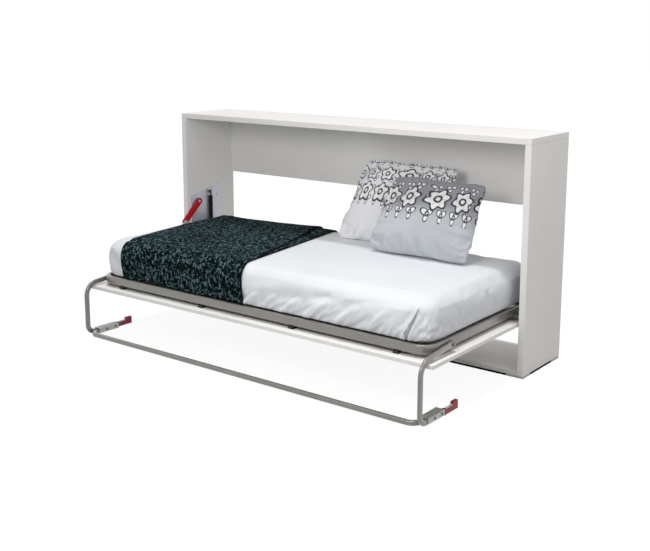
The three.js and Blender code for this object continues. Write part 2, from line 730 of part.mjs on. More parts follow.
function buildMattress() {
  const rings = mattressProfile().map(([inset, z]) => mattressRing(inset, z));
  const geometry = lofted(rings, new THREE.Vector3(0, 0, 0), new THREE.Vector3(0, 0, mattressHeight));
  place(bed, 'mattress', geometry, whiteCotton, 0, mattressMiddle, mattressBase - hingeHeight);
}

// The throw follows the mattress's side and top, and lies a little askew across the bed.
function buildThrow() {
  const half = mattressHalfDepth;
  const profile = mattressProfile().slice(1);
  const rearFrom = mattressHeight - throwRearDrop;
  const front = profile.filter(([, z]) => z > throwHemGap).map(([inset, z]) => [-half + inset, z]);
  const rear = profile.filter(([, z]) => z > rearFrom).map(([inset, z]) => [half - inset, z]);
  const line = [...front, ...rear.reverse()];
  const positions = [];
  let travelled = 0;
  line.forEach(([y, z], i) => {
    const before = line[Math.max(i - 1, 0)];
    const after = line[Math.min(i + 1, line.length - 1)];
    const along = new THREE.Vector2(after[0] - before[0], after[1] - before[1]).normalize();
    if (i) travelled += Math.hypot(y - before[0], z - before[1]);
    const left = throwInset - mattressHalf - throwSkew * travelled;
    for (const [x, lift] of [
      [left, softGap], [left + throwWidth, softGap],
      [left + throwWidth, softGap + throwThickness], [left, softGap + throwThickness],
    ]) positions.push(x, y - along.y * lift, z + along.x * lift);
  });
  const index = [];
  for (let i = 0; i + 1 < line.length; i++) {
    for (let k = 0; k < 4; k++) {
      const [a, b] = [i * 4 + k, i * 4 + ((k + 1) % 4)];
      index.push(a, b, b + 4, a, b + 4, a + 4);
    }
  }
  const end = (line.length - 1) * 4;
  index.push(0, 3, 2, 0, 2, 1, end, end + 1, end + 2, end, end + 2, end + 3);
  const geometry = new THREE.BufferGeometry();
  geometry.setAttribute('position', new THREE.Float32BufferAttribute(positions, 3));
  geometry.setIndex(index.reverse());
  place(bed, 'throw', geometry, darkKnit, 0, mattressMiddle, mattressBase - hingeHeight);
}

// A filled pillow: crowned on both faces, drawn in between its corners, thin at its seam.
function pillowGeometry(width, height, thickness) {
  const n = pillowSteps;
  const positions = [];
  const faces = [[], []];
  const edge = (i) => Math.sin((Math.PI / 2) * ((2 * i) / n - 1));
  const seam = new Map();
  for (const side of [0, 1]) {
    for (let i = 0; i <= n; i++) {
      faces[side][i] = [];
      for (let j = 0; j <= n; j++) {
        const [u, v] = [edge(i), edge(j)];
        const onSeam = i === 0 || j === 0 || i === n || j === n;
        const key = `${i},${j}`;
        if (onSeam && seam.has(key)) {
          faces[side][i][j] = seam.get(key);
          continue;
        }
        const fill = Math.pow((1 - u * u) * (1 - v * v), 0.42);
        const blunt = 1 - pillowCorner * Math.pow(u * v, 4);
        const x = (width / 2) * u * (1 - pillowPull * (1 - v * v)) * (1 - pillowTaper * v) * blunt;
        const z = (height / 2) * v * (1 - pillowPull * (1 - u * u)) * blunt;
        const y = onSeam ? 0 : (side ? 1 : -1) * (thickness / 2) * fill;
        faces[side][i][j] = positions.length / 3;
        positions.push(x, y, z);
        if (onSeam) seam.set(key, faces[side][i][j]);
      }
    }
  }
  const index = [];
  for (const side of [0, 1]) {
    for (let i = 0; i < n; i++) {
      for (let j = 0; j < n; j++) {
        const [near, far] = [faces[side][i], faces[side][i + 1]];
        const [a, b, c, d] = [near[j], far[j], far[j + 1], near[j + 1]];
        if (side) index.push(a, c, b, a, d, c);
        else index.push(a, b, c, a, c, d);
      }
    }
  }
  const geometry = new THREE.BufferGeometry();
  geometry.setAttribute('position', new THREE.Float32BufferAttribute(positions, 3));
  geometry.setIndex(index);
  return geometry;
}

// Both pillows stand on their long seams: the front one leans on the back one.
function buildPillows() {
  for (const [name, pillow, fabric] of [
    ['pillow_back', backPillow, whiteCotton], ['pillow_front', frontPillow, greyCotton],
  ]) {
    const geometry = pillowGeometry(pillow.width, pillow.height, pillowThickness);
    geometry.applyMatrix4(new THREE.Matrix4().makeShear(0, 0, 0, 0, pillow.slump, 0));
    geometry.rotateX(-pillow.lean).rotateZ(pillow.yaw);
    geometry.computeBoundingBox();
    const lift = mattressTop - geometry.boundingBox.min.z + pillow.settle;
    const [x, y] = [mattressHalf - pillow.fromEnd, mattressRear - pillow.setback];
    place(bed, name, geometry, fabric, x, y, lift - hingeHeight);
  }
}

buildCabinet();
buildPlates();
buildPivotPins();
buildSprings();
buildStay();
buildFrame();
buildSlats();
buildDoor();
buildHingeBrackets();
buildLeg();
buildMattress();
buildThrow();
buildPillows();

export default wholeObject;
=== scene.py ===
import bpy
import bmesh
import json
import math
from mathutils import Matrix, Vector, noise
from mathutils.bvhtree import BVHTree


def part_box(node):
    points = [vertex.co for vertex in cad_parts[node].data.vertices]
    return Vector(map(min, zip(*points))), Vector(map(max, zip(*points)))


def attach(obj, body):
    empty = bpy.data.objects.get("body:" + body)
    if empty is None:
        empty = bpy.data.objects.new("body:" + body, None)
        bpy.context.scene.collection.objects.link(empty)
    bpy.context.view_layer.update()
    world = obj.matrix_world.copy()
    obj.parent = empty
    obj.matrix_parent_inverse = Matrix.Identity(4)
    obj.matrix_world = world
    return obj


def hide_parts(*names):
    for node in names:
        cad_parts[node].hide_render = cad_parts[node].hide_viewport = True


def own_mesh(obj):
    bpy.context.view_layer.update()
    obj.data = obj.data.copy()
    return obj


# Folding bed in a low white cabinet, dressed over its CAD frame. Metres, floor at z = 0.

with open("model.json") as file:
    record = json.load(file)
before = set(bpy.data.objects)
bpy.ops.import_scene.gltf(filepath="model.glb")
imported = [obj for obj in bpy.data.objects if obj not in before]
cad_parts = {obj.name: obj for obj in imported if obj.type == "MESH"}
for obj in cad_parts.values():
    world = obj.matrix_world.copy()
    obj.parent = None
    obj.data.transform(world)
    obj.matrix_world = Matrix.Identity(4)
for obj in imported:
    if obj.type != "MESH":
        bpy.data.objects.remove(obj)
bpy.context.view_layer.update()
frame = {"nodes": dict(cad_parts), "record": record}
print("frame loaded")

# what the record says of its slots, and of each node's slot and body
slotOfNode = {s["node"]: s["material_slot"] for s in frame["record"]["subparts"]}
bodyOfNode = {n: b for b, nodes in frame["record"]["behaviour"]["bodies"].items() for n in nodes}

photoWidth = 650

# the camera stands where the photograph's lines meet
cameraSettings = {
    "place": (2.8731, -3.6287, 1.5058),
    "yaw": -0.654,
    "pitch": 0.186,
    "roll": 0.001,
    "focalPixels": 1001.4,
    "risePixels": -60,
    "sensor": 36,
    "farthest": 60,
}


def makeCamera():
    s = cameraSettings
    data = bpy.data.cameras.new("photoCamera")
    data.sensor_fit = "HORIZONTAL"
    data.sensor_width = s["sensor"]
    data.lens = s["focalPixels"] / photoWidth * s["sensor"]
    data.shift_y = s["risePixels"] / photoWidth
    data.clip_end = s["farthest"]
    camera = bpy.data.objects.new("photoCamera", data)
    bpy.context.collection.objects.link(camera)
    ahead = Vector((
        math.sin(s["yaw"]) * math.cos(s["pitch"]),
        math.cos(s["yaw"]) * math.cos(s["pitch"]),
        -math.sin(s["pitch"]),
    ))
    turn = ahead.to_track_quat("-Z", "Y").to_matrix().to_4x4() @ Matrix.Rotation(s["roll"], 4, "Z")
    camera.matrix_world = Matrix.Translation(s["place"]) @ turn
    bpy.context.scene.camera = camera


makeCamera()


# a method that sends a value, and what it is given, to one kind of maths node
def mathsMethod(operation, swapped=False):
    def method(self, *others):
        values = (*others, self) if swapped else (self, *others)
        return self.maths(operation, *values)
    return method


# a shader socket that takes part in plain arithmetic
class Value:
    def __init__(self, finish, socket):
        self.finish = finish
        self.socket = socket

    def maths(self, operation, *values):
        return self.finish.node("Math", {"operation": operation}, dict(enumerate(values)))

    __add__ = mathsMethod("ADD")
    __radd__ = mathsMethod("ADD", True)
    __sub__ = mathsMethod("SUBTRACT")
    __rsub__ = mathsMethod("SUBTRACT", True)
    __mul__ = mathsMethod("MULTIPLY")
    __rmul__ = mathsMethod("MULTIPLY", True)
    __truediv__ = mathsMethod("DIVIDE")
    __gt__ = mathsMethod("GREATER_THAN")
    __lt__ = mathsMethod("LESS_THAN")
    abs = mathsMethod("ABSOLUTE")
    sin = mathsMethod("SINE")
    sqrt = mathsMethod("SQRT")
    fract = mathsMethod("FRACT")
    least = mathsMethod("MINIMUM")
    most = mathsMethod("MAXIMUM")
    angleTo = mathsMethod("ARCTAN2")

    # 0 below low, 1 above high, and smooth between them
    def between(self, low, high):
        return self.finish.node(
            "MapRange", {"interpolation_type": "SMOOTHSTEP"},
            {"Value": self, "From Min": low, "From Max": high, "To Min": 0.0, "To Max": 1.0})


# one material: its fixed values go on the shader, what varies comes from the nodes
class Finish:
    def __init__(self, name, fixed):
        self.material = bpy.data.materials.new(name)
        self.material.use_nodes = True
        self.tree = self.material.node_tree
        self.shader = self.tree.nodes["Principled BSDF"]
        for socket, value in fixed.items():
            self.shader.inputs[socket].default_value = value

    def node(self, kind, settings=None, values=None, output=0):
        made = self.tree.nodes.new("ShaderNode" + kind)
        for key, value in (settings or {}).items():
            setattr(made, key, value)
        for key, value in (values or {}).items():
            self.feed(made.inputs[key], value)
        return Value(self, made.outputs[output])

    def feed(self, socket, value):
        if isinstance(value, Value):
            self.tree.links.new(value.socket, socket)
        elif hasattr(value, "__len__") and len(value) == 3 and socket.type == "RGBA":
            socket.default_value = (*value, 1)
        else:
            socket.default_value = value

    def give(self, socket, value):
        self.feed(self.shader.inputs[socket], value)

    def place(self, scale=(1, 1, 1)):
        here = self.node("TexCoord", output="Object")
        return self.node("Mapping", {}, {"Vector": here, "Scale": scale})

    def noise(self, scale, detail=2.0, rough=0.5, at=None, twist=0.0):
        return self.node("TexNoise", {}, {
            "Vector": at or self.place(), "Scale": scale, "Detail": detail, "Roughness": rough,
            "Distortion": twist})

    # the x and y of a place
    def split(self, place):
        x = self.node("SeparateXYZ", {}, {"Vector": place}, output="X")
        return x, Value(self, x.socket.node.outputs["Y"])

    def mix(self, factor, first, second):
        return self.node("Mix", {"data_type": "RGBA"}, {0: factor, 6: first, 7: second}, output=2)

    def bump(self, height, distance, strength=1.0, onTop=None):
        values = {"Height": height, "Distance": distance, "Strength": strength}
        if onTop is not None:
            values["Normal"] = onTop
        return self.node("Bump", {}, values)


# finishes in two clouded tones: how the tones cloud and where one turns to the other, how far their roughness
# wanders and how finely, and the grain that lies over them. A texture's numbers are its scale and its detail.
cloudSettings = {
    # white melamine, with a faint satin grain
    "board": {"cloud": (3.2, 4), "turn": (0.3, 0.7), "wander": 0.1, "smudge": (9, 3), "grain": (1400, 2),
              "depth": 0.00006},
    # powder coat on steel tube, whose clear gloss catches the light from above
    "tube": {"cloud": (6, 5, 0.6), "turn": (0.35, 0.75), "wander": 0.14, "smudge": (22, 3),
             "grain": (950, 1.5), "depth": 0.00008},
    # painted steel, worn to a second colour here and there
    "paint": {"cloud": (38, 6, 0.62), "turn": (0.56, 0.72), "wander": 0.12, "smudge": (45, 3),
              "grain": (800, 1.5), "depth": 0.00008},
    # moulded plastic, scuffed a little paler
    "plastic": {"cloud": (24, 4), "turn": (0.4, 0.8), "wander": 0.1, "smudge": (60, 2), "grain": (1500, 2),
                "depth": 0.0001},
}


def makeClouded(name, kind, first, second, rough, fixed):
    s = cloudSettings[kind]
    f = Finish(name, fixed)
    f.give("Base Color", f.mix(f.noise(*s["cloud"]).between(*s["turn"]), first, second))
    f.give("Roughness", rough + s["wander"] * f.noise(*s["smudge"]))
    f.give("Normal", f.bump(f.noise(*s["grain"]), s["depth"]))
    return f.material


def makePaint(name, color, worn, rough, metallic=0.1, gloss=0.25):
    return makeClouded(name, "paint", color, worn, rough, {
        "Metallic": metallic, "Coat Weight": gloss, "Coat Roughness": 0.2,
        "Specular IOR Level": 0.2 + 1.2 * gloss})


def makePlastic(name, color, rough):
    pale = tuple(min(1, c * 1.2 + 0.004) for c in color)
    return makeClouded(name, "plastic", color, pale, rough, {"IOR": 1.47})


# zinc-plated sheet: crystal spangle and light smudges
def makeZinc(name, bright, dull, spangle=130):
    s = {"cloud": 7, "smudge": 30, "rough": 0.34, "grain": 400, "depth": 0.00008}
    f = Finish(name, {"Metallic": 0.7})
    crystal = f.node("TexVoronoi", {}, {"Vector": f.place(), "Scale": spangle}, output="Color")
    pick = f.node("SeparateColor", {}, {"Color": crystal})
    f.give("Base Color", f.mix(pick * 0.5 + 0.5 * f.noise(s["cloud"], 4), dull, bright))
    f.give("Roughness", s["rough"] + 0.2 * f.noise(s["smudge"], 4) + 0.06 * pick)
    f.give("Normal", f.bump(f.noise(s["grain"], 3), s["depth"]))
    return f.material


# a polished rod, rubbed along its length
def makeChrome():
    s = {"dull": (0.62, 0.63, 0.65), "bright": (0.74, 0.75, 0.77), "rub": 500, "along": (1, 1, 0.04)}
    f = Finish("chromeRod", {"Metallic": 1.0})
    rub = f.noise(s["rub"], 3, at=f.place(s["along"]))
    f.give("Base Color", f.mix(rub, s["dull"], s["bright"]))
    f.give("Roughness", 0.1 + 0.12 * rub)
    return f.material


# laminated beech: rays and pores that run with the slat, and black caps on its ends
def makeBeech():
    s = {"light": (0.69, 0.50, 0.29), "dark": (0.50, 0.32, 0.16), "pore": (0.33, 0.19, 0.09),
         "rays": 38, "pores": 900, "cap": 0.045, "capColor": (0.006, 0.006, 0.006), "depth": 0.0001}
    f = Finish("beechSlat", {"Coat Weight": 0.15, "Coat Roughness": 0.3})
    grain = f.noise(s["rays"], 6, 0.6, at=f.place((1, 0.05, 1)), twist=0.5)
    pore = f.noise(s["pores"], 2, at=f.place((1, 0.03, 1)))
    wood = f.mix(grain.between(0.35, 0.68), s["light"], s["dark"])
    wood = f.mix(pore.between(0.62, 0.75) * 0.5, wood, s["pore"])
    _, y = f.split(f.place())
    low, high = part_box("slat_1")
    capped = (y < low[1] + s["cap"]).most(y > high[1] - s["cap"])
    f.give("Base Color", f.mix(capped, wood, s["capColor"]))
    f.give("Roughness", 0.42 + 0.15 * grain)
    f.give("Normal", f.bump(pore, s["depth"]))
    return f.material


# woven threads along u and v of a piece's own map, in metres
def weaveHeight(f, uv, thread):
    along, up = f.split(uv)
    turns = math.pi / thread
    warp = (along * turns).sin()
    weft = (up * turns).sin()
    return warp * warp * 0.5 + weft * weft * 0.5


# what the sheet and the pillow covers share: their thread, their clouded colour and their fuzz
cotton = {"thread": 0.0007, "threadDepth": 0.00012, "threadStrength": 0.6, "cloud": 5, "fuzz": 300,
          "rough": 0.86}


def clouded(f, color, shade):
    return f.mix(f.noise(cotton["cloud"], 5, 0.6).between(0.3, 0.75), color, shade)


def giveCotton(f, uv, crumple, depth, strength):
    f.give("Roughness", cotton["rough"] + 0.1 * f.noise(cotton["fuzz"], 2))
    weave = weaveHeight(f, uv, cotton["thread"])
    soft = f.bump(crumple, depth, strength)
    f.give("Normal", f.bump(weave, cotton["threadDepth"], cotton["threadStrength"], soft))


def makeCotton(name, color, shade):
    f = Finish(name, {"Sheen Weight": 0.25, "Sheen Roughness": 0.5, "IOR": 1.4})
    f.give("Base Color", clouded(f, color, shade))
    uv = f.node("UVMap", {"uv_map": "cloth"})
    giveCotton(f, uv, f.noise(16, 5, 0.55, twist=0.6), 0.0035, 0.5)
    return f.material


# knitted throw: pale flecks on a near-black ground, darker along its bound edges
def makeKnit():
    s = {"ground": (0.0012, 0.0030, 0.0036), "mid": (0.008, 0.019, 0.022), "fleck": (0.082, 0.138, 0.150),
         "edge": (0.003, 0.0045, 0.005), "blotch": 74, "stretch": 0.80, "cloud": 3.5,
         "lit": (0.487, 0.512), "bright": (0.51, 0.56),
         "stitch": 0.0042, "depth": 0.0012, "binding": 0.006}
    f = Finish("darkKnit", {"Roughness": 1.0, "Specular IOR Level": 0.04})
    uv = f.node("UVMap", {"uv_map": "cloth"})
    long = (1, s["stretch"], 1)
    first = f.node("Mapping", {}, {"Vector": uv, "Scale": long})
    other = f.node("Mapping", {}, {"Vector": uv, "Scale": long, "Location": (3, 5, 1)})
    blotch = f.noise(s["blotch"], 1.2, 0.5, at=first, twist=0.9)
    second = f.noise(s["blotch"] * 0.93, 1.2, 0.5, at=other, twist=0.9)
    cloud = f.noise(s["cloud"], 3, 0.5, at=uv)
    lit = (blotch - 0.05 + cloud * 0.10).between(*s["lit"])
    bright = (second + cloud * 0.06).between(*s["bright"])
    color = f.mix(lit, s["ground"], s["mid"])
    color = f.mix(lit * bright, color, s["fleck"])
    rim = f.node("Attribute", {"attribute_name": "rim"}, output="Fac")
    f.give("Base Color", f.mix(rim.between(s["binding"] * 0.8, s["binding"]), s["edge"], color))
    knit = weaveHeight(f, uv, s["stitch"])
    f.give("Normal", f.bump(knit * 0.5 + lit * 0.5, s["depth"], 0.6))
    return f.material


# cells of a motif: height inside the cell, from -0.5 to 0.5, and how far and which way from its middle
def motifCell(along, up, size, shift):
    across, rise = along / size + shift[0], up / size + shift[1]
    x, y = across.fract() - 0.5, rise.fract() - 0.5
    return y, (x * x + y * y).sqrt(), y.angleTo(x)


def ring(far, radius, width):
    return 1 - (far - radius).abs().between(width * 0.6, width)


# a petal's rib starts and stops at these shares of the daisy's radius
daisyShape = {"eye": 0.32, "ribStart": (0.36, 0.40), "ribStop": (0.72, 0.80), "ribLevel": 0.985,
              "ribSharp": 60, "rim": 0.01}


# a daisy's outline, its eye and its petals' ribs, as how dark the ink is and where the white fill lies
def daisy(far, way, petals, radius, lobe, line):
    s = daisyShape
    edge = radius + lobe * (way * petals).sin()
    rib = ((way * petals + math.pi / 2).sin() - s["ribLevel"]) * s["ribSharp"]
    start, stop = ([radius * share for share in s[key]] for key in ("ribStart", "ribStop"))
    rib = rib.most(0.0).least(1.0) * far.between(*start) * (1 - far.between(*stop))
    ink = ring(far, edge, line).most(ring(far, radius * s["eye"], line)).most(rib)
    return ink, 1 - (far - edge).between(-s["rim"], s["rim"])


# what both printed covers share, in shares of a motif's cell but for the wobble and the hem, in metres
printShape = {
    "radius": 0.38, "lobe": 0.065, "leafSize": 0.52, "leafShift": (0.25, 0.4),
    # a leaf's lobes, its radius, how deep its lobes go and how wide its line is
    "leaf": (3, 0.26, 0.12, 0.05),
    "wobble": 14, "wobbleAlong": 0.012, "wobbleUp": 0.010, "hemWidth": 0.0025,
    "inkShare": 0.95, "hemShare": 0.75,
}


def makePrint(name, s):
    c = printShape
    f = Finish(name, {"Sheen Weight": 0.2, "Sheen Roughness": 0.5, "IOR": 1.4})
    uv = f.node("UVMap", {"uv_map": "cloth"})
    along, up = f.split(uv)
    wobble = f.noise(c["wobble"], 2, 0.5, at=uv)
    wavyAlong, wavyUp = along + wobble * c["wobbleAlong"], up + wobble * c["wobbleUp"]
    y, far, way = motifCell(wavyAlong, wavyUp, s["motif"], s["shift"])
    ink, fill = daisy(far, way, s["petals"], c["radius"], c["lobe"], s["line"])
    leaf = s["motif"] * c["leafSize"]
    leafY, leafFar, leafWay = motifCell(along, wavyUp, leaf, c["leafShift"])
    leafInk, leafFill = daisy(leafFar, leafWay, *c["leaf"])
    middle, leafMiddle = up - y * s["motif"], up - leafY * leaf
    shown = (middle > s["low"]) * (middle < s["high"])
    leafShown = (leafMiddle > s["leafLow"]) * (leafMiddle < s["leafHigh"])
    ink = (ink * shown).most(leafInk * leafShown * (1 - fill * shown))
    fill = (fill * shown).most(leafFill * leafShown)
    cloth = clouded(f, s["color"], s["shade"])
    field = f.mix(up.between(*s["fieldFrom"]) * s["fieldShare"], cloth, s["field"])
    drawn = f.mix(fill, field, s["white"])
    drawn = f.mix(ink * c["inkShare"], drawn, s["ink"])
    hem = ring(up, s["hem"], c["hemWidth"])
    f.give("Base Color", f.mix(hem * c["hemShare"], drawn, s["hemColor"]))
    giveCotton(f, uv, f.noise(14, 4, 0.55, twist=0.5), 0.003, 0.45)
    return f.material


# the covers' own colours, motifs, and the heights between which motifs and leaves are shown
printSettings = {
    "pillow_back": {
        "color": (0.885, 0.895, 0.925), "shade": (0.83, 0.84, 0.88), "white": (0.90, 0.905, 0.92),
        "ink": (0.020, 0.021, 0.025), "field": (0.72, 0.735, 0.77), "fieldFrom": (0.06, 0.14),
        "fieldShare": 0.3, "motif": 0.092, "petals": 5, "shift": (0.2, 0.1), "line": 0.050,
        "low": -0.030, "high": 0.200, "leafLow": -0.045, "leafHigh": 0.200,
        "hem": 0.192, "hemColor": (0.06, 0.06, 0.07)},
    "pillow_front": {
        "color": (0.54, 0.565, 0.60), "shade": (0.46, 0.485, 0.525), "white": (0.78, 0.79, 0.80),
        "ink": (0.016, 0.017, 0.020), "field": (0.235, 0.245, 0.27), "fieldFrom": (-0.02, 0.05),
        "fieldShare": 0.85, "motif": 0.128, "petals": 6, "shift": (0.1, 0.92), "line": 0.050,
        "low": -0.02, "high": 0.11, "leafLow": 0.0, "leafHigh": 0.165,
        "hem": 0.176, "hemColor": (0.2, 0.2, 0.22)},
}

finishes = {
    "white_board": makeClouded("boardWhite", "board", (0.845, 0.837, 0.823), (0.880, 0.872, 0.858), 0.46, {
        "IOR": 1.45, "Specular IOR Level": 0.3}),
    "grey_tube": makeClouded("tubeGrey", "tube", (0.142, 0.135, 0.122), (0.172, 0.164, 0.150), 0.36, {
        "Coat Weight": 1.0, "Coat Roughness": 0.14, "Coat IOR": 1.8}),
    "zinc_sheet": makeZinc("zincSheet", (0.56, 0.58, 0.62), (0.40, 0.42, 0.46)),
    "saddle_zinc": makeZinc("saddleZinc", (0.50, 0.52, 0.49), (0.31, 0.325, 0.305), 90),
    "dark_bolt": makePaint("darkBolt", (0.16, 0.16, 0.155), (0.24, 0.24, 0.235), 0.3, 0.8),
    "red_paint": makePaint("redPaint", (0.50, 0.006, 0.014), (0.42, 0.012, 0.020), 0.4, 0, 0.05),
    "red_plastic": makePlastic("redPlastic", (0.29, 0.004, 0.026), 0.36),
    "black_paint": makePaint("blackPaint", (0.002, 0.002, 0.0025), (0.007, 0.007, 0.008), 0.32, 0, 0),
    "black_plastic": makePlastic("blackPlastic", (0.004, 0.004, 0.0045), 0.5),
    "foot_plastic": makePlastic("footPlastic", (0.60, 0.62, 0.61), 0.5),
    "pale_plastic": makePlastic("palePlastic", (0.60, 0.63, 0.56), 0.35),
    "chrome_rod": makeChrome(),
    "slat_wood": makeBeech(),
    "white_cotton": makeCotton("whiteCotton", (0.755, 0.780, 0.812), (0.718, 0.742, 0.776)),
    "dark_knit": makeKnit(),
    "pillow_back": makePrint("pillowBackPrint", printSettings["pillow_back"]),
    "pillow_front": makePrint("pillowFrontPrint", printSettings["pillow_front"]),
}
print("finishes made")


# what tidies a mesh, in metres and degrees: its doubles, its flats, and where its edges break and by how much
meshSettings = {"merge": 0.00001, "flat": 0.6, "bevelPast": 8, "boardEdge": 0.0009, "boardAngle": 20,
                "metalEdge": 0.0003, "metalAngle": 32, "tubeAngle": 35, "clothAngle": 80}


def addObject(name, shape):
    mesh = bpy.data.meshes.new(name)
    shape.to_mesh(mesh)
    shape.free()
    piece = bpy.data.objects.new(name, mesh)
    bpy.context.collection.objects.link(piece)
    return piece


def shadeByAngle(mesh, degrees):
    shape = bmesh.new()
    shape.from_mesh(mesh)
    for face in shape.faces:
        face.smooth = True
    for edge in shape.edges:
        edge.smooth = len(edge.link_faces) == 2 and edge.calc_face_angle(0) < math.radians(degrees)
    shape.to_mesh(mesh)
    shape.free()


# puts a finished bmesh in the scene as a piece that rides on a body
def keepPiece(name, shape, slotName, body, replaced, smoothAngle):
    piece = addObject(name, shape)
    piece.data.materials.append(finishes[slotName])
    shadeByAngle(piece.data, smoothAngle)
    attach(piece, body)
    if replaced:
        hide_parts(*replaced)
    return piece


def breakEdges(shape, geom, offset, steps, affect="EDGES"):
    bmesh.ops.bevel(shape, geom=geom, offset=offset, segments=steps, profile=0.5, affect=affect, material=-1)


# small parts whose finish differs from that of their slot
ownFinish = {"leg_saddle_right": "saddle_zinc", "leg_saddle_left": "saddle_zinc",
             "leg_pivot_bolt_right": "dark_bolt", "leg_pivot_bolt_left": "dark_bolt",
             "pivot_pin_right": "dark_bolt", "pivot_pin_left": "dark_bolt"}


# a CAD solid with its doubles merged, its flats whole and its edges broken
def finishedCopy(node, edge, smoothAngle):
    s = meshSettings
    shape = bmesh.new()
    shape.from_mesh(frame["nodes"][node].data)
    bmesh.ops.remove_doubles(shape, verts=shape.verts, dist=s["merge"])
    bmesh.ops.dissolve_limit(shape, angle_limit=math.radians(s["flat"]), verts=shape.verts, edges=shape.edges)
    piece = keepPiece(node + "_finished", shape, slotOfNode[node], bodyOfNode[node], [node], smoothAngle)
    if node in ownFinish:
        piece.data.materials[0] = finishes[ownFinish[node]]
    bevel = piece.modifiers.new("brokenEdge", "BEVEL")
    bevel.width = edge
    bevel.segments = 2
    bevel.limit_method = "ANGLE"
    bevel.angle_limit = math.radians(smoothAngle + s["bevelPast"])
    bevel.harden_normals = True


# boards and small hardware keep their CAD shape, and the rest is remade further down
remade = {"mattress", "throw", "pillow_back", "pillow_front", "frame_front_rail", "frame_rear_rail",
          "frame_side_rail_right", "frame_side_rail_left", "leg_hoop_right", "leg_hoop_left", "leg_crossbar"}
for node, slotName in slotOfNode.items():
    if node not in remade:
        kind = "board" if slotName == "white_board" else "metal"
        finishedCopy(node, meshSettings[kind + "Edge"], meshSettings[kind + "Angle"])
print("boards and hardware finished")


# how finely a tube's corners and bends are drawn, and how far the rims of its ends are broken
tubeSettings = {"cornerSteps": 5, "bendSteps": 14, "rimEdge": 0.0012, "rimSteps": 2}


# a tube section drawn across a path, then run straight and spun round its bends
def bentTube(node, body, corners, radii, across, size, edge):
    s = tubeSettings
    shape = bmesh.new()
    bmesh.ops.create_grid(shape, x_segments=1, y_segments=1, size=0.5)
    bmesh.ops.scale(shape, vec=(size[0], size[1], 1), verts=shape.verts)
    breakEdges(shape, shape.verts[:], edge, s["cornerSteps"], "VERTICES")
    corners = [Vector(c) for c in corners]
    ahead = (corners[1] - corners[0]).normalized()
    side = Vector(across)
    turn = Matrix((side, ahead.cross(side), ahead)).transposed().to_4x4()
    bmesh.ops.transform(shape, matrix=Matrix.Translation(corners[0]) @ turn, verts=shape.verts)
    bmesh.ops.delete(shape, geom=shape.faces[:], context="FACES_ONLY")
    tip = shape.edges[:]
    at = corners[0]
    for index in range(1, len(corners)):
        into = (corners[index] - corners[index - 1]).normalized()
        last = index == len(corners) - 1
        angle, setback = 0, 0
        if not last:
            out = (corners[index + 1] - corners[index]).normalized()
            angle = into.angle(out)
            setback = radii[index - 1] * math.tan(angle / 2)
        stop = corners[index] - into * setback
        grown = bmesh.ops.extrude_edge_only(shape, edges=tip)["geom"]
        points = [g for g in grown if isinstance(g, bmesh.types.BMVert)]
        bmesh.ops.translate(shape, vec=stop - at, verts=points)
        tip = [g for g in grown if isinstance(g, bmesh.types.BMEdge) and len(g.link_faces) == 1]
        at = stop
        if not last:
            axis = into.cross(out).normalized()
            centre = stop + axis.cross(into) * radii[index - 1]
            spun = bmesh.ops.spin(shape, geom=[*tip, *{v for e in tip for v in e.verts}], cent=centre,
                                  axis=axis, angle=angle, steps=s["bendSteps"])["geom_last"]
            tip = [e for e in spun if isinstance(e, bmesh.types.BMEdge)]
            at = corners[index] + out * setback
    bmesh.ops.remove_doubles(shape, verts=shape.verts, dist=meshSettings["merge"])
    openEnds = [e for e in shape.edges if e.is_boundary]
    caps = bmesh.ops.holes_fill(shape, edges=openEnds, sides=0)["faces"]
    breakEdges(shape, [e for face in caps for e in face.edges], s["rimEdge"], s["rimSteps"])
    bmesh.ops.recalc_face_normals(shape, faces=shape.faces)
    keepPiece(node + "_tube", shape, "grey_tube", body, [node], meshSettings["tubeAngle"])


# the two ends of the bed, and which way along the bed each one lies
bedEnds = {"right": 1, "left": -1}

# the frame's rails, as far from the hinge as the CAD rails lie
railSettings = {"tall": 0.040, "thick": 0.020, "edge": 0.0078, "bend": 0.060, "past": 0.090}


def makeRails():
    s = railSettings
    size = (s["tall"], s["thick"])
    low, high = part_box("frame_front_rail")
    z = (low[2] + high[2]) / 2
    x = high[0] - s["thick"] / 2
    front = low[1] + s["thick"] / 2
    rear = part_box("frame_rear_rail")[1][1] - s["thick"] / 2
    for node, y, way in (("frame_front_rail", front, 1), ("frame_rear_rail", rear, -1)):
        past = y + way * s["past"]
        corners = [(x, past, z), (x, y, z), (-x, y, z), (-x, past, z)]
        bentTube(node, "bed", corners, [s["bend"]] * 2, (0, 0, 1), size, s["edge"])
    for end, sign in bedEnds.items():
        node = "frame_side_rail_" + end
        low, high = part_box(node)
        corners = [(sign * x, low[1], z), (sign * x, high[1], z)]
        bentTube(node, "bed", corners, [], (0, 0, 1), size, s["edge"])


# the leg's two hoops and the bar between them
legSettings = {
    "tall": 0.025, "thick": 0.015, "edge": 0.0062, "upperBend": 0.062, "lowerBend": 0.040, "slope": 0.022,
    "armEnd": 0.013, "tipGap": 0.0003, "bar": 0.020, "barEdge": 0.0052, "barBend": 0.042,
}


